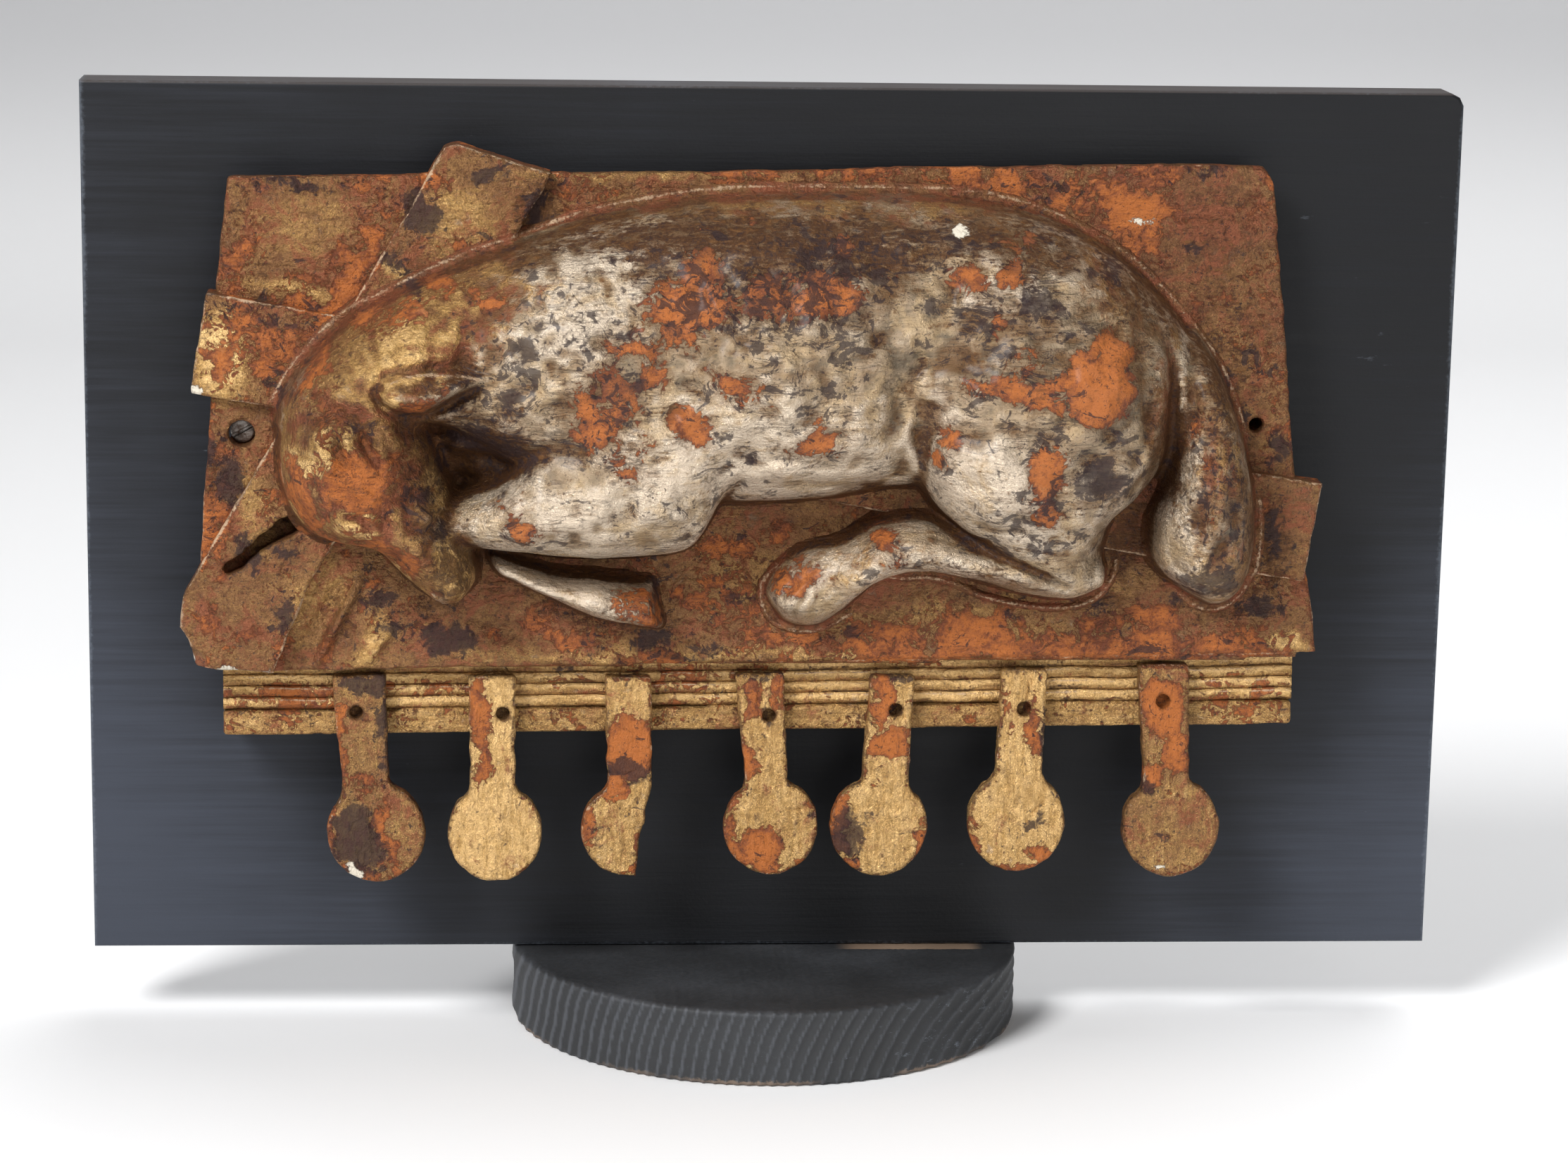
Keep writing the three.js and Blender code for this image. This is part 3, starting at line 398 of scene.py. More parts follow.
STAINS_ON_BOOK = [
    (-102.7, 244.1, 5.7, 7.4, 0), (-115.1, 132.4, 2.9, 3.3, 0), (143.8, 153.7, 2.8, 8.9, 0),
    (141.2, 132.8, 6.1, 4.1, 0), (-82.2, 255.7, 7.0, 2.5, 20), (-70.2, 245.3, 4.1, 6.2, 0),
    (-138.0, 252.3, 12.3, 1.6, 0), (-110.1, 231.7, 3.3, 2.5, 0), (-107.1, 226.7, 2.5, 2.9, 0),
    (-149.8, 217.5, 12.2, 1.0, -6), (-142.9, 213.6, 12.2, 1.2, -6), (-162.3, 176.7, 2.9, 5.3, 0),
    (-156.3, 166.7, 4.1, 8.2, 0), (-150.7, 147.7, 4.1, 6.1, 0), (-142.3, 131.3, 3.2, 5.3, 0),
    (-142.2, 149.5, 5.3, 2.0, 0), (-94.1, 122.2, 10.2, 4.1, 0), (-110.3, 126.3, 3.3, 2.4, 0),
    (-55.6, 123.3, 4.1, 1.6, 0), (-35.3, 122.3, 6.1, 2.8, 0), (-25.1, 118.2, 12.2, 1.4, 0),
    (19.8, 123.4, 5.3, 1.4, 0), (91.6, 132.7, 6.1, 2.4, 0), (118.4, 134.8, 4.9, 2.0, 0),
    (144.2, 178.0, 2.9, 5.3, 0), (134.7, 186.2, 2.0, 4.1, 0), (118.2, 234.8, 3.3, 2.1, 0),
    (123.8, 256.9, 6.2, 1.6, 0), (-8.9, 134.6, 8.1, 2.0, 0), (69.0, 128.6, 4.1, 1.6, 0),
]
BARE_GROUND = [
    (48.8, 243.8, 2.4, 1.3, -10), (103.7, 244.6, 3.4, 0.9, 0), (-168, 192.6, 3.6, 2.2, -10),
    (-169.6, 118.4, 2.2, 4.0, 0), (-160.4, 114.4, 7.0, 0.9, 0), (-152.3, 113.6, 5.0, 0.8, 0),
]
# Where the lamb is golden rather than silver, glazed brown with painted shade in its hollows and under its forms, and
# bright or dull with painted highlights: the last number is the strength
GOLDEN = [
    (-106, 214, 38, 16, 24, 1.2), (-122, 172, 27, 36, -10, 1.4), (126, 166, 13, 44, 4, 0.6), (-100, 148, 16, 12, 0, 1.2),
    (0, 250, 120, 5, 0, 0.7), (8, 160, 26, 5, 0, 0.8), (108, 196, 5, 26, -4, 0.6), (-60, 148, 30, 4, 0, 0.5),
    (24, 150, 24, 8, 10, 0.5), (92, 226, 20, 8, -40, 0.6),
]
GLAZE_AND_SHADE = [
    (124, 196, 10, 14, 20, 0.8), (114, 200, 5, 12, 0, 0.5), (-112, 160, 6, 5, 0, 0.3),
    (122, 172, 12, 36, 6, 0.45), (4, 166, 28, 3, 0, 0.45), (74, 152, 12, 4, -30, 0.4),
    (101, 160, 5, 14, -20, 0.9), (106, 186, 4, 24, 0, 0.7), (94, 210, 14, 12, -30, 0.5), (-28, 236, 30, 6, 8, 0.6),
    (82, 168, 16, 10, 30, 0.35), (72, 206, 26, 8, -10, 0.35), (-50, 190, 12, 20, -14, 0.3),
    (-94, 148, 9, 12, 10, 1.0), (-66, 136, 20, 2, -12, 0.5), (-40, 136, 8, 3, -20, 0.5), (115, 192, 3, 10, 0, 0.9),
    (124, 187, 4, 9, 10, 0.8), (130, 168, 3, 12, 8, 0.9), (118, 161, 3, 4, 0, 0.6), (126, 149, 4, 4, 0, 0.6), (134, 158, 2, 18, 0, 0.9),
    (112, 172, 2, 8, 0, 0.8), (118, 142, 6, 3, -30, 0.7),
    (-84, 182, 15, 9, -8, 1.3), (-100, 178, 5, 12, 10, 1.0),
    (-124, 209, 24, 7, 38, 0.5), (-70, 238, 40, 5, 16, 0.8), (0, 240, 74, 9, 0, 1.1), (62, 240, 34, 8, -10, 0.9),
    (100, 227, 22, 9, -40, 0.9), (124, 204, 8, 24, 12, 1.0), (-98, 202.2, 13, 2.0, -2, 1.1), (-102, 191, 12, 2, 8, 1.0), (124, 176, 12, 40, 0, 0.3), (-101, 164, 7, 22, 14, 0.75), (-94, 184, 16, 8, 0, 1.0),
    (-100, 146, 12, 10, 30, 0.7), (-122, 190, 14, 6, 0, 0.9), (-118, 174, 18, 14, -30, 0.42), (-86, 192, 14, 7, -10, 0.7), (131, 160, 6, 26, 0, 0.6),
    (0, 160, 26, 3, 0, 0.6), (54, 146, 26, 4, -10, 0.6), (-132, 196, 10, 8, 30, 0.5), (-3, 228, 42, 10, 0, 0.45),
    (66, 222, 22, 8, -10, 0.5),
]
# Brightness zones of the lamb, many of them painted highlights on the forms that face the light
BRIGHT_AND_HIGHLIGHT = [
    (119, 152, 4, 7, 0, 0.6), (113, 162, 3, 8, 0, 0.7), (-92, 148, 3, 6, 10, 0.9), (-104, 141, 6, 3, -10, 0.7),
    (-60, 170, 30, 9, 8, 0.5), (-20, 176, 16, 8, 0, 0.4), (60, 178, 20, 9, 0, 0.5),
    (-2, 196, 34, 12, 0, 0.6), (-30, 190, 12, 14, 0, 0.4), (66, 164, 18, 8, 0, 0.5), (-94, 150, 4, 8, 10, 0.7),
    (-56, 224, 20, 12, 18, 1.1), (-62, 207, 10, 7, 0, 0.5), (0, 181, 46, 9, 0, 1.0), (-66, 140, 26, 5, -12, 1.0), (-106, 212, 22, 8, 32, 0.8), (-60, 163, 26, 9, 0, 0.8),
    (-44, 150, 22, 6, 0, 0.8), (62, 176, 22, 13, 0, 0.55), (58, 229, 14, 6, 0, 0.6), (44, 190, 4, 20, 12, 0.9),
    (40, 146, 22, 5, 0, 0.7), (14, 142, 12, 6, 0, 0.8), (76, 158, 12, 8, 0, 0.6), (118, 146, 10, 8, 0, 0.5),
    (3, 206, 34, 10, 0, -0.45), (84, 192, 22, 14, 0, -0.55), (70, 210, 26, 8, 0, -0.4), (-70, 172, 20, 8, 10, -0.3), (-109.6, 197.6, 3.2, 2.4, 0, 1.4), (-127, 184, 5, 8, 0, 0.9),
    (-94, 156, 2, 12, 16, 1.2), (-98, 172, 2.4, 8, 10, 0.8), (-130, 187.5, 3, 2.4, 0, 1.6), (-124, 153, 10, 2, 10, 0.9), (-110, 147, 8, 2, -50, 0.9), (-138, 160, 2, 8, 20, 0.9), (-98, 204.8, 14, 0.9, 2, 1.4), (-134, 178, 6, 4, 0, 1.2), (-120, 161, 10, 1.6, -10, 1.2),
    (-116, 165.4, 8, 1.2, 6, 1.2), (-34, 176, 14, 12, 0, 0.5), (0, 170, 30, 4, 0, 0.9), (114, 190, 2.5, 16, 0, 0.7),
]
# Zones of the lamb that lean towards bare bole and towards stains; the stain zone in the hollow between head and
# shoulder is painted shade
WEAR_ON_LAMB = [
    (6, 227, 36, 9, 0, 4.6), (-32, 221, 14, 12, -30, 4.3), (-49, 196, 11, 20, -14, 4.3), (78, 203, 24, 10, -14, 4.0),
    (-118, 173, 19, 17, -30, 4.6), (-136, 166, 5, 16, 16, 4.4), (-110, 150, 14, 5, -40, 4.2), (-101.6, 196.6, 6.4, 3, 6, 5.2),
    (-128, 196, 12, 8, 20, 3.6), (-112, 218, 24, 6, 28, 3.4), (-134, 205, 10, 4, 50, 3.4), (72, 172, 8, 16, 0, 1.8),
    (14, 142, 10, 6, 40, 2.6), (30, 150, 10, 6, 0, 1.8), (-40, 134, 11, 7, -14, 4.6), (-62, 140, 8, 3, -10, 3.2),
    (118, 186, 4, 14, 4, 3.4), (-20, 244, 40, 4, 0, 2.6),
    (-104, 212, 26, 10, 30, 1.2), (122, 160, 8, 12, 0, 1.4),
]
STAIN_AND_SHADE_ON_LAMB = [
    (120, 144, 10, 6, 0, 3.0), (90, 176, 7, 6, -20, 3.3), (60, 164, 10, 4, 0, 2.6), (30, 240, 40, 5, 0, 2.4),
    (-3, 226, 42, 12, 0, 3.1), (-50, 197, 12, 18, -14, 2.8), (-64, 220, 18, 14, 10, 2.5), (-86, 200, 20, 12, 20, 2.4),
    (-102, 166, 6, 14, 10, 3.0), (-122, 190, 10, 4, 20, 2.8), (60, 212, 26, 14, 0, 1.4), (124, 168, 14, 34, 0, 2.6), (-84, 182, 14, 8, -8, 3.6), (0, 176, 50, 8, 0, 1.0),
    (-60, 170, 26, 10, 0, 1.0), (88, 176, 12, 14, 0, 1.6), (20, 158, 30, 4, 0, 1.0), (60, 150, 26, 8, 0, 1.0),
    (96, 160, 8, 12, 0, 1.6),
]
# Zones of the book that lean towards bare bole, and towards stains: the last number is in millimetres
WEAR_ON_BOOK = [
    (30, 254, 60, 5, 0, 1.2), (60, 254, 14, 4, 0, 1.6), (100, 249, 14, 9, 0, 2.6), (102, 232, 6, 9, 10, 3.0), (141, 225, 6, 36, 5, 1.0),
    (66, 121, 95, 6.5, 0, 2.3), (-161, 165, 6, 26, 0, 1.2), (-146, 206, 16, 9, 0, 1.3), (-122, 226, 3.4, 18, -30, 4.0),
    (-130, 217.4, 16, 2.4, -9, 2.6), (-88, 250, 16, 8, -10, -2.2), (-30, 120, 20, 6, 0, -1.4), (126, 195, 12, 30, 0, -0.8),
    (150, 158, 8, 14, 0, -1.0), (-60, 252, 14, 5, 0, 1.6), (0, 132, 20, 10, 0, 1.4),
]
STAIN_ON_BOOK = [
    (72, 253, 16, 4, -6, 2.3), (-60, 254, 10, 4, 0, 1.6), (64, 134, 30, 3, 6, 1.4), (92, 138, 8, 5, 0, 2.0),
    (-143, 150, 10, 14, 20, 1.4), (-120, 121, 24, 5, 0, 1.0), (147, 150, 5, 12, 0, 2.4), (140, 133, 9, 4, 0, 2.2),
    (-100, 130, 12, 5, 30, 1.8), (-70, 250, 8, 6, 0, 1.6), (-148, 252, 14, 2.5, 0, 1.5), (-60, 128, 24, 4, 0, 1.2),
    (-20, 132, 14, 5, 0, 1.2), (110, 130, 30, 4, 0, 0.8),
]
# Where the book is glazed dark, with painted shade in the hollow by the lamb's head, and where its gold is bright or
# dull
GLAZE_AND_SHADE_ON_BOOK = [
    (102, 152, 6, 14, -10, 1.3), (96, 134, 12, 3, 0, 0.7), (20, 132, 14, 3, 0, 0.4), (-64, 132, 30, 4, -10, 0.5),
    (-84, 179, 16, 9, -8, 1.3), (-136, 252, 26, 4, 0, 0.6), (-156, 246, 4, 10, 0, 0.5), (128, 212, 18, 50, 0, 0.42),
    (108, 214, 12, 18, -40, 0.5), (-146, 148, 12, 8, 40, 0.6), (-126, 126, 5, 18, -30, 0.7), (-100, 132, 14, 6, 20, 0.6),
    (-40, 125, 26, 5, -6, 0.5), (144, 150, 6, 16, 0, 0.8), (132, 134, 16, 5, 10, 0.7), (20, 116.6, 140, 1.6, 0, 0.5),
    (-70, 246, 9, 10, 0, 0.9), (-106, 229, 8, 5, -30, 0.6), (-163, 170, 4, 14, 0, 0.7), (-120, 239, 2, 18, -30, 0.5),
    (-20, 254, 40, 3, 0, 0.4), (60, 134, 40, 5, 0, 0.4), (0, 140, 22, 7, 0, 0.5), (-146, 228, 12, 4, -8, 0.45),
]
BRIGHT_ON_BOOK = [
    (-160, 203, 8, 12, 0, 1.4), (0, 140, 24, 8, 0, 0.4), (60, 126, 60, 6, 0, 0.3),
    (-92, 243, 12, 9, 0, 0.5), (-103, 224, 18, 3, -34, 0.9), (-134, 240, 12, 9, 0, 0.25), (-150, 160, 5, 14, 0, 0.4),
    (-132, 134, 8, 14, -20, 0.4), (-70, 118, 30, 3, 0, 0.4), (10, 118, 60, 2, 0, 0.5), (148, 122, 9, 3, 0, 0.9),
    (110, 190, 12, 40, 0, -0.4), (125, 245, 14, 12, 0, -0.3), (80, 136, 40, 3, 8, 0.3), (-30, 256, 60, 1.6, 0, 0.4),
    (-116, 121, 4, 9, -24, 0.8), (-134, 222, 20, 2, -8, 0.5),
]
# The same for each seal: worn and stained patches
WORN_ON_SEALS = [
    [(-127, 90, 3, 14, 6), (-129, 66, 2.6, 13, 6), (-121, 52, 6, 2.4, -30), (-117, 80, 9, 2.6, 10), (-113, 64, 2.2, 11, 6)],
    [(-86.2, 101, 3.2, 10, 0), (-85.8, 86, 3, 10, 0), (-94.2, 68, 1.2, 5, 0), (-71, 54, 4, 2, 40)],
    [(-42.4, 91, 8, 9.6, 0), (-46, 79, 3.6, 4, 0), (-37.8, 62, 1.2, 5, 0), (-37.6, 52, 3, 4, 0), (-55.6, 66, 1.2, 6, 0)],
    [(-7.6, 105.4, 3.4, 5.6, 0), (1.4, 107.4, 2.4, 5, 0), (-7.8, 87, 2.6, 5, 10), (-5, 60, 7.8, 6, 0), (-12.8, 67, 2, 8, 0),
     (9, 56, 3, 3, -30)],
    [(31, 104, 4, 8, -8), (33.4, 92, 7, 4, 0), (19.6, 68, 3.4, 9, 10), (43.2, 60, 2, 8, -10), (22, 57, 3, 4, 30)],
    [(77, 96, 2.6, 12, 0), (67.2, 101, 2, 8, 4), (58.6, 62, 2, 8, 14), (80, 59, 4.4, 3, -30), (72, 54, 8, 1.8, 0)],
    [(114, 102, 7.6, 9, 0), (119.4, 88, 3.8, 8, 0), (111, 80, 4.4, 2.6, 30)],
]
STAINS_ON_SEALS = [
    [(-120.6, 64.4, 6.2, 12, 4), (-119.6, 109, 7, 2.6, 0), (-114.4, 100, 2, 5, 0), (-111, 90, 1.2, 8, 0)],
    [],
    [(-42, 84.4, 7, 2.8, 0)],
    [(0, 111, 7, 1, 0)],
    [(22.6, 66, 3.6, 7, 4), (35, 110.6, 6, 1, 0)],
    [(80, 92, 1.6, 6, 0), (78, 71, 0.7, 4.6, -44)],
    [(110, 77, 1.8, 1.6, 0)],
]
SEAL_BRIGHTNESS = [0.5, 1.2, 0.95, 0.9, 1.0, 1.05, 0.55]
SEAL_CRACKS = [
    (5, [(74.6, 112.8), (74.2, 107), (73.2, 102)], 0.4, -1.0), (5, [(75, 69.6), (79.6, 74.4)], 0.45, -0.8),
    (3, [(-4.6, 112), (-4.8, 104), (-4.2, 98)], 0.4, -0.7), (3, [(4, 71), (10, 72.6)], 0.4, -0.6),
    (4, [(38, 105), (37.6, 97)], 0.35, -0.6), (0, [(-118, 78), (-117, 66), (-116.4, 54)], 0.4, -0.5),
    (0, [(-114.4, 78), (-113, 66), (-112, 56)], 0.35, -0.4),
]



def cover_front(y):
    """Height of the book's cover above the board."""
    return FRONT_AT_BOTTOM + (y - BOOK_BOTTOM) * (FRONT_AT_TOP - FRONT_AT_BOTTOM) / (BOOK_TOP - BOOK_BOTTOM)


def seal_back(y):
    """Height of the seals' backs, which stand further out at their lower ends."""
    (low, low_back), (high, high_back) = SEAL_TILT
    return low_back + (y - low) * (high_back - low_back) / (high - low)


def smooth_step(value, low, high):
    share = np.clip((value - low) / (high - low), 0, 1)
    return share * share * (3 - 2 * share)


def smooth_max(a, b, blend):
    """The larger of two heights, run together where they are closer than blend."""
    share = np.clip(0.5 + 0.5 * (a - b) / blend, 0, 1)
    return b + (a - b) * share + blend * share * (1 - share)


def lumps(points, size, seed):
    """Smooth noise from -1 to 1 with lumps of about that size; the same every time."""
    cells = np.floor(points / size).astype(np.int64)
    share = points / size - cells
    share = share * share * share * (share * (share * 6 - 15) + 10)
    total = np.zeros(points.shape[:-1])
    for corner in np.ndindex(*(2,) * points.shape[-1]):
        code = np.full(total.shape, seed * 2654435761, np.int64)
        weight = np.ones(total.shape)
        for axis, step in enumerate(corner):
            code ^= (cells[..., axis] + step) * (73856093, 19349663, 83492791)[axis]
            weight = weight * (share[..., axis] if step else 1 - share[..., axis])
        code = ((code ^ (code >> 13)) * 1274126177) & 0xFFFFFFFF
        total += weight * (((code ^ (code >> 16)) & 0xFFFF) / 32767.5 - 1)
    return total


def flow_line(points, count):
    """Points along the centripetal Catmull-Rom curve through the given ones, as the part draws it."""
    p = np.array(points, float)
    p = np.vstack([2 * p[0] - p[1], p, 2 * p[-1] - p[-2]])
    place = np.linspace(0, len(points) - 1, count)
    left = np.minimum(place.astype(int), len(points) - 2)
    t = (place - left)[:, None]
    a, b, c, d = (p[left + k] for k in range(4))
    spans = [np.maximum(np.linalg.norm(v - u, axis=1, keepdims=True) ** 0.5, 1e-4) for u, v in ((a, b), (b, c), (c, d))]
    leave = ((b - a) / spans[0] - (c - a) / (spans[0] + spans[1]) + (c - b) / spans[1]) * spans[1]
    reach = ((c - b) / spans[1] - (d - b) / (spans[1] + spans[2]) + (d - c) / spans[2]) * spans[1]
    return (b + leave * t + (3 * (c - b) - 2 * leave - reach) * t ** 2
            + (2 * (b - c) + leave + reach) * t ** 3)


def form_height(stations, x, y):
    """Top of one carved form over each face-on point, far below the book where the form isn't."""
    count = 16 * len(stations)
    a = flow_line([(*s[0], s[2]) for s in stations], count)
    b = flow_line([(*s[1], s[3]) for s in stations], count)
    square = np.interp(np.linspace(0, 1, count), np.linspace(0, 1, len(stations)), [s[4] for s in stations])
    height = np.full(x.shape, -50.0)
    reach = np.vstack([a[:, :2], b[:, :2]])
    near = ((x > reach[:, 0].min() - 1) & (x < reach[:, 0].max() + 1)
            & (y > reach[:, 1].min() - 1) & (y < reach[:, 1].max() + 1))
    px, py = x[near], y[near]
    top = np.full(px.shape, -50.0)
    turn = ((b[:, None, 0] - a[:, None, 0]) * (py - a[:, None, 1])
            - (b[:, None, 1] - a[:, None, 1]) * (px - a[:, None, 0]))
    row, point = np.nonzero((turn[:-1] <= 0) != (turn[1:] <= 0))
    share = turn[row, point] / (turn[row, point] - turn[row + 1, point])
    here = a[row] + (a[row + 1] - a[row]) * share[:, None]
    there = b[row] + (b[row + 1] - b[row]) * share[:, None]
    full = square[row] + (square[row + 1] - square[row]) * share
    across = there[:, :2] - here[:, :2]
    place = ((px[point] - here[:, 0]) * across[:, 0] + (py[point] - here[:, 1]) * across[:, 1]) / (across ** 2).sum(1)
    crest = there[:, 2]
    side = np.where(place < crest, place / crest - 1, (place - crest) / (1 - crest))
    on = (place >= 0) & (place <= 1)
    lift = np.maximum(0, 1 - np.abs(side) ** full) ** (1 / full)
    base = cover_front(py[point]) - 2.2
    np.maximum.at(top, point[on], (base + (here[:, 2] - base) * lift)[on])
    height[near] = top
    return height


def blurred(heights, radius):
    """The height map softened over a radius in samples."""
    reach = max(1, math.ceil(3 * radius))
    weights = np.exp(-0.5 * (np.arange(-reach, reach + 1) / radius) ** 2)
    for axis in (0, 1):
        count = heights.shape[axis]
        padded = np.pad(heights, [(reach, reach) if a == axis else (0, 0) for a in (0, 1)], mode="edge")
        moved = [padded[i:i + count] if axis == 0 else padded[:, i:i + count] for i in range(len(weights))]
        heights = sum(w * m for w, m in zip(weights / weights.sum(), moved))
    return heights


def outline_distance(x, y, outline):
    """Signed distance to a closed outline, negative inside."""
    nearest = np.full(x.shape, np.inf)
    inside = np.zeros(x.shape, bool)
    for (ax, ay), (bx, by) in zip(outline, outline[1:] + outline[:1]):
        ex, ey = bx - ax, by - ay
        px, py = x - ax, y - ay
        share = np.clip((px * ex + py * ey) / (ex * ex + ey * ey), 0, 1)
        nearest = np.minimum(nearest, (px - share * ex) ** 2 + (py - share * ey) ** 2)
        if ey:
            inside ^= ((ay > y) != (by > y)) & (px < ex * py / ey)
    return np.where(inside, -1, 1) * np.sqrt(nearest)


def line_distance(x, y, points):
    """Distance to a line of points, and how far along it the nearest place is, from 0 to 1."""
    nearest = np.full(x.shape, np.inf)
    along = np.zeros(x.shape)
    for i, ((ax, ay), (bx, by)) in enumerate(zip(points, points[1:])):
        ex, ey = bx - ax, by - ay
        share = np.clip(((x - ax) * ex + (y - ay) * ey) / (ex * ex + ey * ey), 0, 1)
        away = (x - ax - share * ex) ** 2 + (y - ay - share * ey) ** 2
        along = np.where(away < nearest, (i + share) / (len(points) - 1), along)
        nearest = np.minimum(nearest, away)
    return np.sqrt(nearest), along


def stroke_relief(x, y, strokes):
    """What the chisel strokes add to or take from the surface."""
    relief = np.zeros(x.shape)
    for _, points, half, rise in strokes:
        line = [tuple(p) for p in flow_line(points, 4 * len(points))] if len(points) > 2 else points
        xs, ys = zip(*line)
        near = ((x > min(xs) - 4 * half) & (x < max(xs) + 4 * half)
                & (y > min(ys) - 4 * half) & (y < max(ys) + 4 * half))
        away, along = line_distance(x[near], y[near], line)
        taper = np.sqrt(np.clip(4 * along * (1 - along), 0, 1))
        relief[near] += rise * taper * np.exp(-((away / half) ** 2))
    return relief


def egg_height(x, y, egg, side):
    """Lower or upper surface of an egg over each point, and where the egg is."""
    (cx, cy, cz), (hx, hy, hz), turn = egg
    c, s = math.cos(math.radians(turn)), math.sin(math.radians(turn))
    u = ((x - cx) * c + (y - cy) * s) / hx
    v = ((y - cy) * c - (x - cx) * s) / hy
    left = 1 - u * u - v * v
    return cz + side * hz * np.sqrt(np.maximum(left, 0)), left > 0


def ground_height(x, y):
    """Front of the book with its cross, under and round the lamb."""
    cross = np.minimum(outline_distance(x, y, BEAM_OUTLINE), outline_distance(x, y, ARM_OUTLINE))
    return cover_front(y) + CROSS_RISE * (1 - smooth_step(cross, -0.6, 0.6))


def ear_relief(x, y):
    """The ear's rise above the neck, its rim, and the hollow cut round it."""
    away = outline_distance(x, y, EAR_OUTLINE)
    plate = EAR_RISE * smooth_step(-away, -0.4, 2.6) + 0.5 * np.exp(-(((away + 0.7) / 0.6) ** 2))
    below = 0.35 + 0.65 * smooth_step(-y, -203, -196)
    return plate - EAR_HOLLOW * below * np.exp(-(((away - 1.6) / 1.5) ** 2))


def lamb_height(x, y, step):
    """Height map of the lamb, softened as its ground and leaf soften the carving, and the bare ground."""
    ground = ground_height(x, y)
    height = ground
    for name, stations in FORMS.items():
        height = smooth_max(height, form_height(stations, x, y), BLENDS[name])
    for egg in BOSSES:
        top, on = egg_height(x, y, egg, 1)
        height = np.where(on, smooth_max(height, top, 1.2), height)
    for egg in SCOOPS:
        floor, on = egg_height(x, y, egg, -1)
        height = np.where(on, np.minimum(height, np.maximum(floor, ground)), height)
    height = np.maximum(height, ground + shade_field(x, y, HOLLOW_FLOOR))
    soft = blurred(height, 0.85 / step)
    ground = blurred(ground, 0.85 / step)
    body = smooth_step(soft - ground, 3, 10)
    flat = np.stack([x, y], -1)
    body_shape = leaning(x, y, SWELLS)
    cuts = 1.1 * lumps(flat, 12.0, 3) + 1.0 * lumps(flat, 6.5, 5) + 0.5 * lumps(flat, 3.3, 7)
    return soft + stroke_relief(x, y, STROKES) + ear_relief(x, y) + (cuts + body_shape) * body, ground


def surface_net(field, axes):
    """Points and outward-facing quads where a field that is negative inside crosses zero."""
    inside = field < 0
    shape = np.array(field.shape) - 1
    count = np.zeros(shape, np.uint8)
    for i, j, k in np.ndindex(2, 2, 2):
        count += inside[i:i + shape[0], j:j + shape[1], k:k + shape[2]]
    cells = np.argwhere((count > 0) & (count < 8))
    number = np.full(shape, -1, np.int64)
    number[tuple(cells.T)] = np.arange(len(cells))
    total = np.zeros((len(cells), 3))
    hits = np.zeros(len(cells))
    for axis in range(3):
        others = [a for a in range(3) if a != axis]
        for steps in np.ndindex(2, 2):
            low = cells.copy()
            low[:, others] += steps
            high = low.copy()
            high[:, axis] += 1
            a, b = field[tuple(low.T)].astype(float), field[tuple(high.T)].astype(float)
            cut = (a < 0) != (b < 0)
            share = a[cut] / (a[cut] - b[cut])
            for d in others:
                total[cut, d] += axes[d][low[cut, d]]
            total[cut, axis] += axes[axis][low[cut, axis]] * (1 - share) + axes[axis][high[cut, axis]] * share
            hits[cut] += 1
    quads = []
    for axis in range(3):
        u, v = (axis + 1) % 3, (axis + 2) % 3
        low = np.moveaxis(inside, axis, 0)[:-1]
        high = np.moveaxis(inside, axis, 0)[1:]
        edges = np.argwhere(np.moveaxis(low != high, 0, axis))
        edges = edges[(edges[:, u] > 0) & (edges[:, u] < shape[u]) & (edges[:, v] > 0) & (edges[:, v] < shape[v])]
        corners = []
        for du, dv in ((1, 1), (0, 1), (0, 0), (1, 0)):
            cell = edges.copy()
            cell[:, u] -= du
            cell[:, v] -= dv
            corners.append(number[tuple(cell.T)])
        ring = np.stack(corners, 1)
        outward = inside[tuple(edges.T)]
        quads.append(np.where(outward[:, None], ring, ring[:, ::-1]))
    return total / hits[:, None], np.concatenate(quads)


def to_row(points):
    """Face-on millimetres to metres in the row frame."""
    return np.column_stack([points[:, 0] * MM, BOARD_FRONT - points[:, 2] * MM, points[:, 1] * MM])


def make_piece(name, points, quads, marks, finish, slot, nodes):
    """A smooth mesh piece with its marks as point attributes, standing for the CAD nodes."""
    used = np.unique(quads)
    renumber = np.zeros(len(points), np.int64)
    renumber[used] = np.arange(len(used))
    mesh = bpy.data.meshes.new(name)
    mesh.vertices.add(len(used))
    mesh.vertices.foreach_set("co", to_row(points[used]).astype(np.float32).ravel())
    mesh.loops.add(quads.size)
    mesh.loops.foreach_set("vertex_index", renumber[quads].astype(np.int32).ravel())
    mesh.polygons.add(len(quads))
    mesh.polygons.foreach_set("loop_start", np.arange(0, quads.size, 4, dtype=np.int32))
    mesh.update(calc_edges=True)
    mesh.shade_smooth()
    for mark, values in marks.items():
        attribute = mesh.attributes.new(mark, "FLOAT", "POINT")
        attribute.data.foreach_set("value", values[used].astype(np.float32))
    return place(bpy.data.objects.new(name, mesh), finish, slot, nodes)


def place(piece, finish, slot, nodes):
    """Links a finished piece, gives it its finish and ties it to the frame."""
    if piece.name not in bpy.context.scene.collection.objects:
        bpy.context.scene.collection.objects.link(piece)
    piece.data.materials.clear()
    piece.data.materials.append(finish)
    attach(piece, "root")
    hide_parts(*nodes)
    return piece


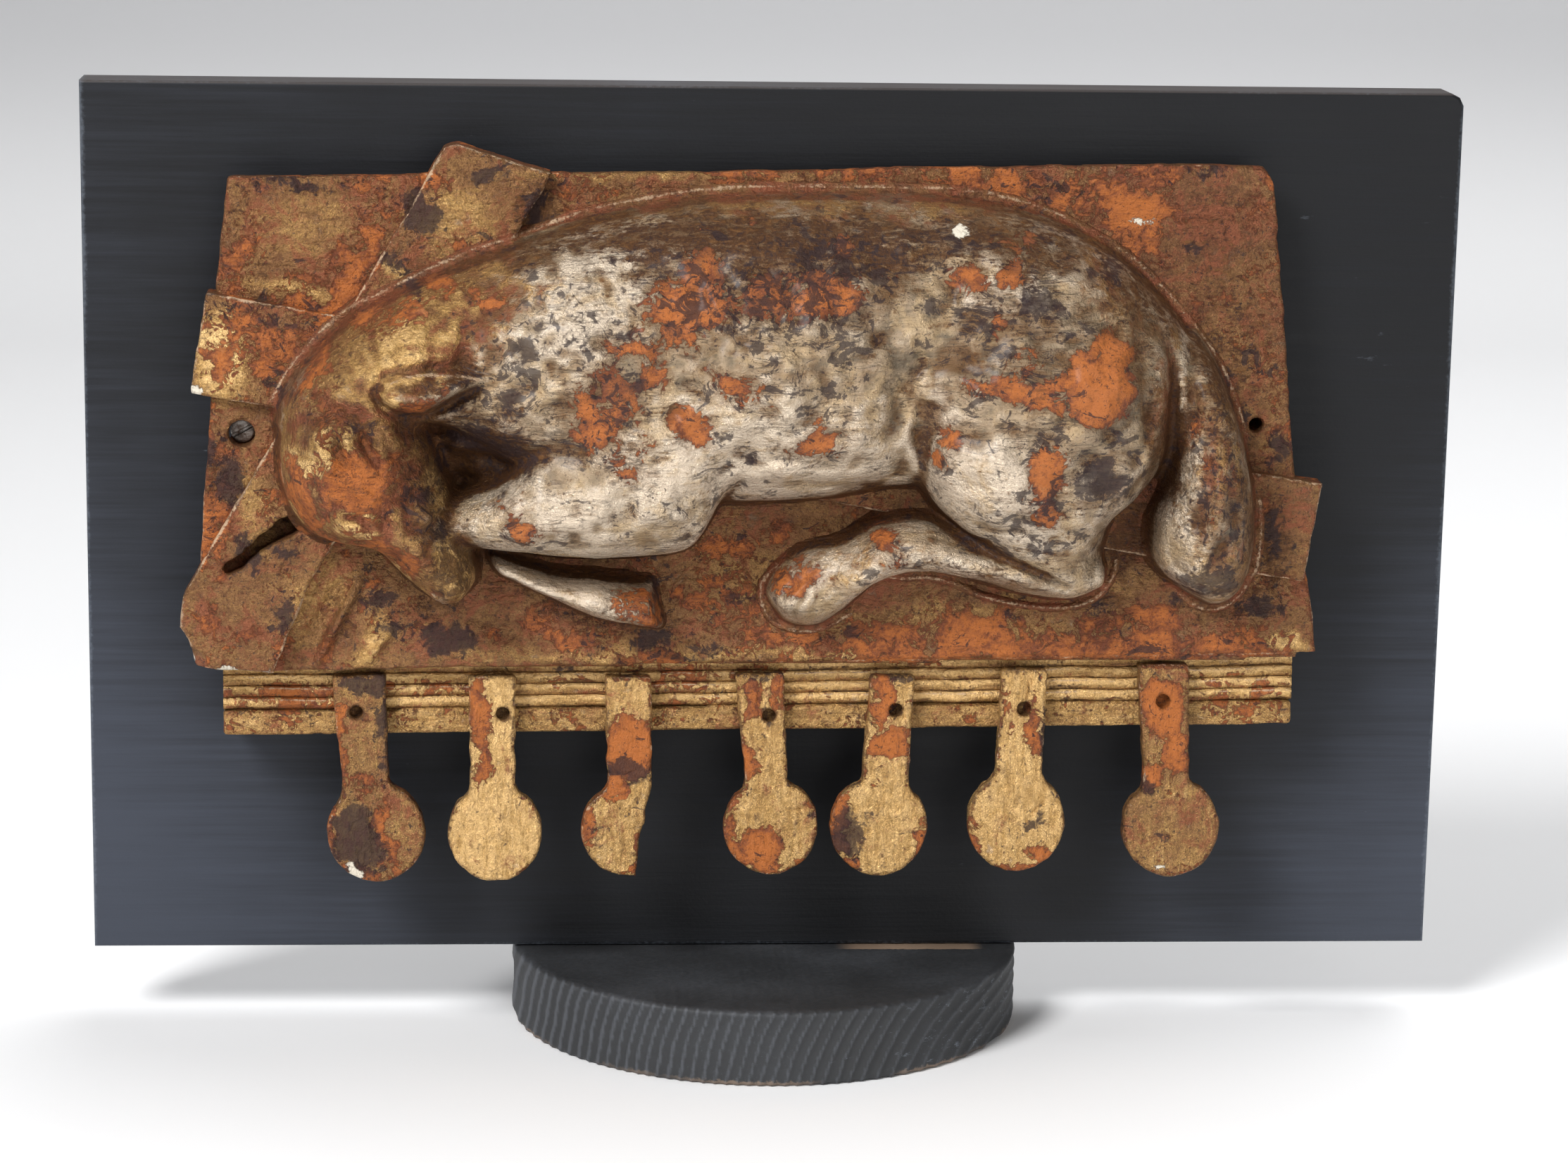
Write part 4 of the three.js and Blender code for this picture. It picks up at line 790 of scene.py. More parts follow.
def close_back(piece):
    """Replaces the fine faces of the flat hidden back with a few large ones, one face in from its rim."""
    shape = bmesh.new()
    shape.from_mesh(piece.data)
    shape.normal_update()
    flat = {f for f in shape.faces if f.normal.y > 0.99}
    back = [f for f in shape.faces if all(near in flat for v in f.verts for near in v.link_faces)]
    normal = back[0].normal.copy()
    bmesh.ops.delete(shape, geom=back, context="FACES")
    rim = [e for e in shape.edges if e.is_boundary]
    filled = bmesh.ops.triangle_fill(shape, use_beauty=True, use_dissolve=False, edges=rim, normal=normal)
    for face in filled["geom"]:
        if isinstance(face, bmesh.types.BMFace):
            face.normal_update()
            if face.normal.y < 0:
                face.normal_flip()
    if any(e.is_boundary for e in shape.edges):
        raise RuntimeError(f"the back of {piece.name} isn't closed")
    shape.to_mesh(piece.data)
    shape.free()


class Wire:
    """A node's output that takes part in arithmetic with other outputs and with numbers."""

    def __init__(self, graph, socket):
        self.graph = graph
        self.socket = socket

    def _math(self, operation, first, second=0.5, third=0.5):
        return self.graph.add("ShaderNodeMath", {"operation": operation}, {0: first, 1: second, 2: third})

    def __add__(self, other):
        return self._math("ADD", self, other)

    def __sub__(self, other):
        return self._math("SUBTRACT", self, other)

    def __rsub__(self, other):
        return self._math("SUBTRACT", other, self)

    def __mul__(self, other):
        return self._math("MULTIPLY", self, other)

    def __truediv__(self, other):
        return self._math("DIVIDE", self, other)

    __radd__ = __add__
    __rmul__ = __mul__

    def larger(self, other):
        return self._math("MAXIMUM", self, other)

    def smaller(self, other):
        return self._math("MINIMUM", self, other)

    def power(self, other):
        return self._math("POWER", self, other)

    def size(self):
        return self._math("ABSOLUTE", self)

    def wave(self):
        """Sine of a number of whole turns, from 0 to 1."""
        return self._math("SINE", self * math.tau) * 0.5 + 0.5

    def step(self, low, high):
        """0 below low, 1 above high, and smooth between them."""
        return self.graph.add("ShaderNodeMapRange", {"interpolation_type": "SMOOTHSTEP"},
                              {"Value": self, "From Min": low, "From Max": high})

    def parts(self):
        """The three numbers of a vector."""
        split = self.graph.add("ShaderNodeSeparateXYZ", {}, {0: self})
        return [Wire(self.graph, split.socket.node.outputs[k]) for k in range(3)]


class Graph:
    """A node tree that is filled by one method."""

    def __init__(self, tree):
        self.tree = tree
        self.tree.nodes.clear()

    def add(self, kind, settings=None, sockets=None, output=0):
        """A node with its settings made first, then its sockets set or linked. Gives one of its outputs."""
        node = self.tree.nodes.new(kind)
        for name, value in (settings or {}).items():
            setattr(node, name, value)
        for name, value in (sockets or {}).items():
            if isinstance(value, Wire):
                self.tree.links.new(value.socket, node.inputs[name])
            else:
                node.inputs[name].default_value = value
        return Wire(self, node.outputs[output]) if node.outputs else None


class Finish(Graph):
    """The node tree of one material."""

    def __init__(self, name):
        self.material = bpy.data.materials.new(name)
        self.material.use_nodes = True
        super().__init__(self.material.node_tree)
        self.place = self.add("ShaderNodeTexCoord", output="Object")

    def mark(self, name):
        """A point attribute of the piece."""
        return self.add("ShaderNodeAttribute", {"attribute_name": name}, output="Fac")

    def noise(self, size, detail=2.0, rough=0.5, stretch=(1, 1, 1), warp=0.0, seed=0.0):
        """Smooth noise from 0 to 1 with lumps of about size metres."""
        where = self.add("ShaderNodeMapping", {"vector_type": "POINT"}, {
            "Vector": self.place, "Location": (seed, seed * 0.7, -seed), "Scale": stretch})
        return self.add("ShaderNodeTexNoise", {}, {
            "Vector": where, "Scale": 1 / size, "Detail": detail, "Roughness": rough, "Distortion": warp})

    def uneven(self, *size, **more):
        """The same noise about 0, mostly within half a unit."""
        return (self.noise(*size, **more) - 0.5) * 2.2

    def mix(self, below, above, share):
        """Colour above over colour below, by share."""
        return self.add("ShaderNodeMix", {"data_type": "RGBA"}, {
            0: share, 6: colour(below), 7: colour(above)}, output=2)

    def bump(self, height, depth, strength=1.0):
        return self.add("ShaderNodeBump", {}, {"Height": height, "Distance": depth, "Strength": strength})

    def shader(self, **sockets):
        """Ends the tree in one Principled shader and gives the material."""
        surface = self.add("ShaderNodeBsdfPrincipled", {}, {
            name.replace("_", " "): colour(value) if "Color" in name else value for name, value in sockets.items()})
        self.add("ShaderNodeOutputMaterial", {}, {"Surface": surface})
        return self.material


def colour(value):
    return value if isinstance(value, Wire) else (*tuple(value)[:3], 1)


def strayed(x, y, seed):
    """The same places, pushed about so that patches get ragged outlines."""
    flat = np.stack([x, y], -1)
    return [axis + 2.0 * lumps(flat, 7.5, seed + k) + 1.3 * lumps(flat, 3.1, seed + 4 + k) for k, axis in enumerate((x, y))]


def patch_field(x, y, patches):
    """Distance in millimetres into the nearest patch; negative outside every patch."""
    field = np.full(x.shape, -8.0)
    x, y = strayed(x, y, 70)
    for cx, cy, hx, hy, turn in patches:
        c, s = math.cos(math.radians(turn)), math.sin(math.radians(turn))
        u = ((x - cx) * c + (y - cy) * s) / hx
        v = ((y - cy) * c - (x - cx) * s) / hy
        field = np.maximum(field, (1 - np.sqrt(u * u + v * v)) * min(hx, hy))
    return field


def shade_field(x, y, patches):
    """Soft shading: the strongest patch at each place."""
    field = np.zeros(x.shape)
    x, y = strayed(x, y, 80)
    for cx, cy, hx, hy, turn, strength in patches:
        c, s = math.cos(math.radians(turn)), math.sin(math.radians(turn))
        u = ((x - cx) * c + (y - cy) * s) / hx
        v = ((y - cy) * c - (x - cx) * s) / hy
        field = np.maximum(field, strength * np.exp(-((u * u + v * v) ** 1.5)))
    return field


def leaning(x, y, zones):
    """Sum of soft zones that lean towards more wear, or less where the strength is negative."""
    return sum(np.sign(zone[5]) * shade_field(x, y, [(*zone[:5], abs(zone[5]))]) for zone in zones)


def leaf_finish(name, look, grain):
    """Worn leaf over bole and white ground. Gold or silver, wear, stains, glaze with painted shade, brightness with
    painted highlights, and pale edges that are partly painted highlight come from the marks.
    """
    f = Finish(name)
    broad = f.uneven(0.03, 3, 0.55, warp=0.4, seed=17.0)
    wide = f.uneven(0.012, 4, 0.6, warp=0.5)
    ragged = f.uneven(0.0042, 5, 0.7, warp=1.2, seed=3.0)
    blotch = f.uneven(0.003, 4, 0.62, warp=0.8, seed=31.0)
    fine = f.uneven(0.0009, 4, 0.72, seed=7.0)
    streak = f.uneven(0.0026, 4, 0.66, stretch=grain, warp=0.5, seed=12.0)
    lines = 1 - f.uneven(0.0042, 3, 0.55, stretch=grain, warp=0.7, seed=27.0).size() * 7.0
    crackle = 1 - f.uneven(0.0017, 2, 0.6, warp=1.6, seed=51.0).size() * 5.0
    bright_and_highlight, glaze_and_shade, golden = f.mark("bright_and_highlight"), f.mark("glaze_and_shade"), f.mark("golden")
    worn = f.mark("worn") + broad * 1.6 + wide * 2.4 + ragged * 4.0 + fine * 1.1

    soft = wide * 0.8 + broad * 0.7
    silver = f.mix(look.grey_silver, look.aged_silver, (bright_and_highlight * 0.8 + soft + streak * 0.2 + 0.3).step(-0.35, 0.45))
    silver = f.mix(silver, look.silver, (bright_and_highlight + soft * 0.7 + streak * 0.3 + fine * 0.2).step(0.1, 0.9))
    warm = (f.uneven(0.018, 4, 0.62, warp=0.8, seed=91.0) * 1.2 + blotch * 0.5 + streak * 0.3).step(-0.05, 0.4)
    silver = f.mix(silver, look.warm_silver, warm * 0.6)
    tan = (f.uneven(0.014, 4, 0.6, warp=0.8, seed=61.0) + streak * 0.5 + glaze_and_shade * 0.7 - bright_and_highlight * 0.2).step(-0.05, 0.6)
    silver = f.mix(silver, look.tan_silver, tan.larger(worn.step(-2.4, -0.3) * 0.6) * 0.85)
    dark = (ragged * 0.5 + streak * 0.7 + fine * 0.5 + glaze_and_shade * 0.5).step(0.36, 0.55)
    lined = lines.step(0.35, 1.0) * 0.7 * (wide * 0.8 + glaze_and_shade * 0.5 + 0.35).step(0.2, 0.5)
    silver = f.mix(silver, look.dark_silver, dark.larger(lined) * 0.85)

    lit = wide * 0.5 + blotch * 0.8 + fine * 0.35 + broad * 0.3
    gold = f.mix(look.umber, look.dull_gold, (lit + bright_and_highlight * 0.6).step(-0.5, 0.35))
    gold = f.mix(gold, look.gold, (ragged * 0.5 + streak * 0.5 + fine * 0.2 + wide * 0.4 + bright_and_highlight * 0.8).step(0.1, 0.85))
    gold = f.mix(gold, look.pale_gold, (streak * 0.7 + blotch * 0.4 + wide * 0.4 + bright_and_highlight * 0.8).step(0.5, 1.15) * 0.85)
    thin = (worn * 0.22 + fine * 0.3 + blotch * 0.55 + streak * 0.4 + 0.62 - bright_and_highlight * 0.35).step(0.15, 0.75)
    gold = f.mix(gold, look.rubbed, thin * 0.75)
    gold = f.mix(gold, look.umber, crackle.step(0.35, 0.9) * (0.6 - bright_and_highlight * 0.3))
    ruddy = f.uneven(0.010, 5, 0.68, warp=1.0, seed=101.0) * 1.3 + fine * 0.5 + blotch * 0.4
    gold = f.mix(gold, look.russet, (ruddy + 0.3 - bright_and_highlight * 0.45).step(0.0, 0.55) * 0.8)
    leaf = f.mix(silver, gold, (golden + wide * 0.6 + blotch * 0.5).step(0.25, 0.8))

    bare = worn.step(-0.2, 0.25)
    bole = f.mix(look.red_bole, look.orange_bole, (worn * 0.24 + blotch * 0.8 + fine * 0.4 + wide * 0.6).step(-0.2, 0.75))
    bole = f.mix(bole, look.rim_bole, (1 - worn.step(0.05, 0.7)) * 0.6)
    bole = f.mix(bole, look.pale_bole, (blotch * 0.7 + ragged * 0.5 - wide * 0.3 + broad * 0.4 - glaze_and_shade + bright_and_highlight * 0.3).step(0.25, 0.95) * 0.7)
    bole = f.mix(bole, look.red_bole, (streak * 0.9 + fine * 0.5 + blotch * 0.5 + golden * 0.25 - bright_and_highlight * 0.25).step(0.15, 0.75) * 0.75)
    skin = f.mix(leaf, bole, bare)
    # Brown glaze over the leaf, which also lays painted shade where the marks ask for it
    glaze_and_shade_share = (glaze_and_shade * 0.85 + streak * 0.9 + ragged * 1.0 + blotch * 0.7 + fine * 0.5).step(0.22, 0.95)
    brown = f.mix(look.glaze_and_shade, look.stain, (ragged + fine * 0.7 + streak * 0.5).step(0.05, 0.5) * 0.8)
    brown = f.mix(brown, look.amber, (blotch * 0.9 + streak * 0.6 - wide * 0.5).step(0.12, 0.55) * 0.75)
    skin = f.mix(skin, brown, glaze_and_shade_share * (0.9 - bare * 0.45))
    stain = (f.mark("stain") + ragged * 3.6 + blotch * 2.0 + fine * 1.0).step(-0.8, 0.7)
    specks = (f.noise(0.0012, 3, 0.85, seed=21.0) + wide * 0.06 + glaze_and_shade * 0.03).step(0.6, 0.67)
    spots = (f.uneven(0.0028, 3, 0.5, warp=0.8, seed=41.0) + f.mark("stain") * 0.14 + 0.1 - golden * 0.06).step(0.1, 0.24)
    dabs = f.uneven(0.0065, 5, 0.7, stretch=(0.8, 1, 1.1), warp=1.0, seed=81.0) + broad * 0.4 + f.mark("stain") * 0.02
    dabs = (dabs - golden * 0.1 - bright_and_highlight * 0.07).step(0.1, 0.17)
    stained = (stain * 0.82).larger(specks * 0.75).larger(spots * 0.85).larger(dabs * 0.8)
    skin = f.mix(skin, look.stain, stained)
    # Pale rims: rubbed leaf and ground, and painted highlight along edges and crests
    pale_rim_and_highlight = (f.mark("edge") + ragged * 0.5 + fine * 0.5 + wide * 0.3).step(0.62, 0.95)
    skin = f.mix(skin, look.rubbed_edge_and_highlight, pale_rim_and_highlight * 0.9)
    chipped = (f.mark("ground") + fine * 1.2 + ragged * 0.8).step(-0.2, 0.2)
    skin = f.mix(skin, look.ground, chipped)

    covered = 1 - bare.larger(stained).larger(chipped).larger(glaze_and_shade_share * 0.8)
    height = fine * 0.25 + blotch * (0.3 + golden * 0.3) + streak * 0.35 - bare * 0.25 - chipped * 0.5
    return f.shader(
        Base_Color=skin,
        Metallic=covered * look.metal,
        Specular_IOR_Level=0.14,
        Roughness=0.42 - covered * 0.1 + fine * 0.1 - bright_and_highlight * 0.07,
        Coat_Weight=(0.2 - golden * 0.17) * (1 - glaze_and_shade_share * 0.5) * (1 - bare * 0.3),
        Coat_Roughness=0.28,
        Normal=f.bump(height, 0.0009, 1.0),
    )


def foot_finish(look):
    """Matt black paint on turned pine, with dust, scuffs, and bare wood along the foot of the board."""
    f = Finish("black_foot_paint")
    x, y, z = f.place.parts()
    fine = f.noise(0.0016, 3, 0.6) - 0.5
    cloud = f.noise(0.03, 3, 0.5, seed=3.0) - 0.5
    dust = (f.noise(0.0007, 2, 0.8, seed=7.0) + cloud * 0.25).step(0.66, 0.8)
    top = (z - (FOOT_BOX[1].z - 0.002)).step(0.0, 0.0012)
    scuffs = (f.noise(0.004, 5, 0.75, stretch=(0.5, 1, 2.5), seed=11.0) + (x * 1.6).smaller(0.1)).step(0.66, 0.78)
    paint = f.mix(look.foot_paint, look.foot_dust, (cloud * 0.9 + fine * 0.5 + 0.32).step(0.1, 0.9) * (top * 0.5 + 0.22))
    paint = f.mix(paint, look.foot_dust, dust * 0.6)
    # Ridges of the growth rings paler, more so towards the left of the foot
    paint = f.mix(paint, look.foot_dust, (f.mark("ridge") * 1.1 + fine * 0.9 - 0.35 - x * 3.0).step(0.0, 0.9) * 0.75)
    paint = f.mix(paint, look.scuff, scuffs * (1 - top) * 0.35)
    strip = (x * 0.02 + 0.0035 + fine * 0.0016 + cloud * 0.002) - (BOARD_FRONT - y).size()
    bare = strip.step(-0.0004, 0.0005) * top * (x - 0.02).step(0.0, 0.008) * (0.066 - x).step(0.0, 0.006)
    low = (0.0016 + fine * 0.003 - z).step(-0.0002, 0.0006) * (cloud + 0.1).step(0.0, 0.2)
    skin = f.mix(paint, look.bare_wood, bare.larger(low * 0.55))
    height = fine * 0.6 + cloud * 0.4 + dust * 0.3 - bare * 0.4
    return f.shader(Base_Color=skin, Roughness=0.62 + cloud * 0.15 + fine * 0.1 + bare * 0.1,
                    Normal=f.bump(height, 0.0004, 0.5))


def board_finish(look):
    """Charcoal paint, brushed along the board and rubbed at its edges, with painted bounce light from the floor making
    it paler towards the lower corners and the left.
    """
    f = Finish("charcoal_board_paint")
    x, y, z = f.place.parts()
    brush = f.noise(0.0022, 4, 0.65, stretch=(0.03, 1, 1)) - 0.5
    fine = f.noise(0.0012, 3, 0.6, seed=4.0) - 0.5
    cloud = f.noise(0.05, 3, 0.5, seed=6.0) - 0.5
    low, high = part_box("mount_board")
    # Painted bounce light from the floor: strongest at the lower corners, weaker along the left side
    corner = (x.size() * 3.2 - z * 2.4).step(0.05, 0.62) + (0.1 - x).step(0.0, 0.32) * 0.28
    rim = (z - (high.z - 0.0006)).larger(x.size() - (high.x - 0.0016)).larger((low.z + 0.0012) - z)
    rubbed = (rim * 900 + fine * 2.2 + cloud * 2.4 + brush * 0.8).step(0.2, 1.6)
    scuffs = (f.noise(0.006, 5, 0.78, stretch=(0.25, 1, 1.2), seed=9.0) + cloud * 0.2).step(0.69, 0.78)
    paint = f.mix(look.board_paint, look.board_bounce_light, (corner * 0.8 + x * 0.15 * corner + cloud * 0.3 + brush * 0.5).step(0.0, 1.0))
    paint = f.mix(paint, look.board_rim, (z - (high.z - 0.0008)).step(0.0, 0.0006) * 0.8)
    paint = f.mix(paint, look.scuff, rubbed * 0.2)
    paint = f.mix(paint, look.scuff, scuffs * 0.22)
    return f.shader(Base_Color=paint, Specular_IOR_Level=0.3, Roughness=0.55 + brush * 0.2 + cloud * 0.12 + rubbed * 0.1,
                    Normal=f.bump(brush * 0.8 + fine * 0.4 - rubbed * 0.3, 0.00025, 0.5))


def screw_finish(look):
    """Old steel with rust and dirt in the slot."""
    f = Finish("old_screw_steel")
    fine = f.noise(0.0006, 3, 0.6) - 0.5
    cloud = f.noise(0.002, 3, 0.6, seed=3.0) - 0.5
    rust = (cloud * 1.4 + fine * 0.8 + 0.45).step(0.25, 0.75)
    return f.shader(Base_Color=f.mix(look.steel, look.rust, rust), Metallic=0.9 - rust * 0.6,
                    Roughness=0.42 + rust * 0.3, Normal=f.bump(fine + cloud, 0.0002, 0.6))


def floor_finish(look):
    """Pale matt paper sweep with the faintest unevenness."""
    f = Finish("pale_floor")
    cloud = f.noise(0.6, 2, 0.5)
    # The sweep turns greyer as it rises behind, as painted shade
    return f.shader(Base_Color=f.mix(look.floor, look.backdrop, (cloud - 0.5) * 0.06 + f.place.parts()[2].step(0.0, 0.17)),
                    Roughness=0.85)


def rounded_plate(away, z, back, front, edge):
    """Field of a plate: away is the distance to its outline, and its front edge is rounded."""
    across = away + edge
    out = z - front + edge
    body = np.minimum(np.maximum(across, out), 0) + np.hypot(np.maximum(across, 0), np.maximum(out, 0)) - edge
    return np.maximum(body, back - z)


def sampled(grid, xs, ys, points):
    """Values of a height map at points, blended between its samples."""
    u = np.clip((points[:, 0] - xs[0]) / (xs[1] - xs[0]), 0, len(xs) - 1.001)
    v = np.clip((points[:, 1] - ys[0]) / (ys[1] - ys[0]), 0, len(ys) - 1.001)
    i, j = u.astype(int), v.astype(int)
    u, v = u - i, v - j
    return ((grid[i, j] * (1 - u) + grid[i + 1, j] * u) * (1 - v)
            + (grid[i, j + 1] * (1 - u) + grid[i + 1, j + 1] * u) * v)


def build_lamb(settings, look):
    """The lamb as one closed skin that is let a millimetre into the book."""
    step = settings.lamb_detail * 1000
    xs = np.arange(-152, 146, step)
    ys = np.arange(122, 258, step)
    x, y = np.meshgrid(xs, ys, indexing="ij")
    height, ground = lamb_height(x, y, step)
    lift = height - ground
    height = height - 0.3 * (1 - smooth_step(lift, 0, 0.8))
    low = cover_front(y) - 1
    zs = np.arange(low.min() - 1, height.max() + 2, step)
    field = np.maximum(zs - height[..., None], (low[..., None] - zs))
    field = np.maximum(field, (0.05 - lift)[..., None]).astype(np.float32)
    points, quads = surface_net(field, (xs, ys, zs))
    px, py = points[:, 0], points[:, 1]
    valley = sampled(blurred(height, 2.6 / step) - height, xs, ys, points)
    hollow = sampled(blurred(height, 6 / step) - height, xs, ys, points)
    crest = sampled(height - blurred(height, 1.3 / step), xs, ys, points)
    ledge = np.full(len(points), 9.0)
    for name, line, *_ in STROKES:
        if name.startswith("ledge"):
            ledge = np.minimum(ledge, line_distance(px, py, [tuple(p) for p in flow_line(line, 60)])[0])
    flare = 1 - smooth_step(ledge, 1.0, 2.2)
    ridge = np.full(len(points), 9.0)
    for name, line, *_ in STROKES:
        if name in RIDGES_WORN_AND_HIGHLIGHTED:
            ridge = np.minimum(ridge, line_distance(px, py, [tuple(p) for p in flow_line(line, 40)])[0])
    ear = np.exp(-(((outline_distance(px, py, EAR_OUTLINE) + 0.5) / 0.7) ** 2)) * smooth_step(py, 200, 203)
    low_rim = 1 - smooth_step(sampled(lift, xs, ys, points), 1.6, 4.2)
    # Brown glaze and painted shade in the valleys and at the foot of steep walls
    hollow_glaze_and_shade = (np.clip(valley / 1.3, 0, 1) * 0.75 + np.clip(hollow / 6, 0, 1) * 0.7) * smooth_step(ledge, 1.0, 6.0)
    # Brighter leaf in the listed zones, many of them painted highlights, and rubbed brighter on the crests
    bright_and_highlight = leaning(px, py, BRIGHT_AND_HIGHLIGHT) * 0.8 + np.clip(crest / 0.5, -0.3, 0.5)
    marks = {
        "worn": np.maximum(patch_field(px, py, WORN_ON_LAMB) * 0.8, leaning(px, py, WEAR_ON_LAMB) - 3.9 - flare * 3),
        # Stains, with painted shade in the hollow between head and shoulder
        "stain": np.maximum(patch_field(px, py, STAINS_ON_LAMB) - 1.2, leaning(px, py, STAIN_AND_SHADE_ON_LAMB) - 3.5 - flare * 3),
        "ground": patch_field(px, py, BARE_GROUND),
        "golden": np.maximum(shade_field(px, py, GOLDEN), low_rim),
        "glaze_and_shade": np.clip(shade_field(px, py, GLAZE_AND_SHADE) * (1 - flare * 0.7) + hollow_glaze_and_shade + low_rim * 0.2, 0, 1.3),
        "bright_and_highlight": np.clip(bright_and_highlight * (1 - flare), -0.8, 1.2),
        # Pale rims, partly wear and partly painted highlight: the crest of the ledge round the back, the ear's rim and
        # the ridges
        "edge": np.maximum(np.maximum(np.exp(-((ledge / 0.9) ** 2)) * 0.8, ear * 0.85), np.exp(-((ridge / 1.3) ** 2)) * 0.62),
    }
    piece = make_piece("lamb", points, quads, marks, look, "gilded_relief", ["lamb_and_book"])
    close_back(piece)


def groove_depth(share):
    """Depth of the groove under one leaf's edge, at that share of the leaf's height."""
    return np.interp(share, (0, 0.05, 0.35, 0.95, 1), (1.3, 1.3, 0.2, 0, 1.3))


def shade_round_lamb(points):
    """Painted shade on the book round the lamb, deeper where the lamb stands higher."""
    step = 2.0
    xs = np.arange(-160, 156, step)
    ys = np.arange(110, 266, step)
    height, ground = lamb_height(*np.meshgrid(xs, ys, indexing="ij"), step)
    return sampled(blurred(np.clip((height - ground) / 8, 0, 1), 1.6), xs, ys, points) * 0.8


def build_book(settings, look):
    """Closed book with its cross, and the back cover's edge under the leaves."""
    step = settings.book_detail * 1000
    xs = np.arange(-174, 161, step)
    ys = np.arange(92, 267, step)
    zs = np.arange(GAP, 34, step)
    flat_x, flat_y = np.meshgrid(xs, ys, indexing="ij")
    x, y, z = flat_x[..., None], flat_y[..., None], zs[None, None, :]
    front = cover_front(flat_y)
    flat = np.stack([flat_x, flat_y], -1)
    worn = 0.32 * lumps(flat, 7.0, 11) + 0.2 * lumps(flat, 2.6, 12)
    dents = 0.22 * lumps(flat, 15.0, 13) + 0.16 * lumps(flat, 6.0, 14) - 0.18
    relief = stroke_relief(flat_x, flat_y, BOOK_STROKES)
    level = (front + dents + relief)[..., None]

    unturned = flat_y - flat_x * BOOK_TURN
    strip = unturned < LEAVES_BOTTOM + STRIP_HEIGHT
    open_edge = unturned < BOOK_BOTTOM - GAP
    block_front = np.where(open_edge, seal_back(flat_y) - GAP - np.where(strip, 0.15, LEAF_INSET), front - COVER_THICKNESS / 3)
    block_away = np.maximum(outline_distance(flat_x, flat_y, LEAVES_OUTLINE), LEAVES_BOTTOM - unturned)
    block_away = np.maximum(block_away, unturned - BOOK_TOP + 4) - worn * 0.5 + 0.3
    field = rounded_plate(block_away[..., None], z, GAP, block_front[..., None], 0.5)
    cover_away = outline_distance(flat_x, flat_y, COVER_OUTLINE) - worn + 0.35
    field = np.minimum(field, rounded_plate(cover_away[..., None], z, (front - COVER_THICKNESS)[..., None], level, 1.1))
    cross = np.full(field.shape, 50.0)
    for outline in (BEAM_OUTLINE, ARM_OUTLINE):
        away = outline_distance(flat_x, flat_y, outline) - worn * 0.8 + 0.3
        back = (front + CROSS_RISE - CROSS_THICKNESS)[..., None]
        cross = np.minimum(cross, rounded_plate(away[..., None], z, back, level + CROSS_RISE, 1.0))
    for cx, cy, size in CROSS_CHIPS:
        chip = np.sqrt((x - cx) ** 2 + (y - cy) ** 2 + (1.25 * (z - cover_front(cy) - CROSS_RISE)) ** 2)
        cross = np.maximum(cross, size - chip + worn[..., None] * 1.2)
    away, along = line_distance(flat_x, flat_y, SLOT)
    away = away - SLOT_HALF * (1.4 - 0.8 * along) - worn * 2.2
    cuts = np.minimum(-away[..., None], z - (front[..., None] - SLOT_FLOOR * (1.1 - 0.6 * along[..., None])))
    reach = np.hypot(flat_x - SCREW_AT[0], flat_y - SCREW_AT[1])[..., None]
    cuts = np.maximum(cuts, np.minimum(SCREW_HEAD + GAP - reach, z - SCREW_SEAT))
    cuts = np.maximum(cuts, EMPTY_HOLE_RADIUS - np.hypot(flat_x - EMPTY_HOLE[0], flat_y - EMPTY_HOLE[1])[..., None])
    zs = np.concatenate([[GAP - 0.01], zs])
    for name, body in (("book", field), ("cross", cross)):
        body = np.maximum(np.maximum(body, cuts), GAP - z)
        body = np.pad(body, ((0, 0), (0, 0), (1, 0)), constant_values=1.0)
        points, quads = surface_net(body.astype(np.float32), (xs, ys, zs))
        piece = make_piece(name, points, quads, book_marks(points, name), look, "gilded_relief", ["lamb_and_book"])
        if name == "book":
            close_back(piece)


def book_marks(points, name):
    """Wear, stains, glaze with painted shade round the lamb and in the hollows, brightness, and pale rims that are
    partly painted highlight, of the book or of the cross.
    """
    px, py, pz = points.T
    front = pz > cover_front(py) - 1.5
    outlines = [COVER_OUTLINE] if name == "book" else [BEAM_OUTLINE, ARM_OUTLINE]
    rim = np.max([-np.abs(outline_distance(px, py, outline)) for outline in outlines], axis=0)
    level = cover_front(py) + (0 if name == "book" else CROSS_RISE)
    on_strip = py - px * BOOK_TURN < LEAVES_BOTTOM + STRIP_HEIGHT + 0.5
    base = np.where(front, -1.1, np.where(on_strip, -0.7, -0.6))
    base = base + np.where(front, leaning(px, py, WEAR_ON_BOOK), 0)
    return {
        "worn": np.maximum(np.where(front, patch_field(px, py, WORN_ON_BOOK) * 0.6, -8), base + np.clip(rim + 2, 0, 2) * 0.4),
        "stain": np.where(front, np.maximum(patch_field(px, py, STAINS_ON_BOOK) - 0.6,
                                            leaning(px, py, STAIN_ON_BOOK) - 2.9), -2.6),
        "ground": np.where(front | (py < 120), patch_field(px, py, BARE_GROUND), -8),
        "golden": np.ones(len(points)),
        # Glaze with painted shade round the lamb and in the listed hollows, darker towards the right edge, and darker
        # on the sides and the page edges
        "glaze_and_shade": np.clip(np.where(front, 0.05 + shade_round_lamb(points) + smooth_step(px, 95, 140) * 0.15
                                  + shade_field(px, py, GLAZE_AND_SHADE_ON_BOOK), np.where(on_strip, 0.3, 0.55)), 0, 1.2),
        "bright_and_highlight": np.where(on_strip, 0.8, 0.3) + leaning(px, py, BRIGHT_ON_BOOK),
        # Pale rims of the cover and the cross, partly wear and partly painted highlight
        "edge": (smooth_step(pz - level, -2.4, -1.0) * np.exp(-((rim / (0.9 if name == "book" else 1.3)) ** 2))
                 * (0.78 if name == "book" else 1.0)),
    }


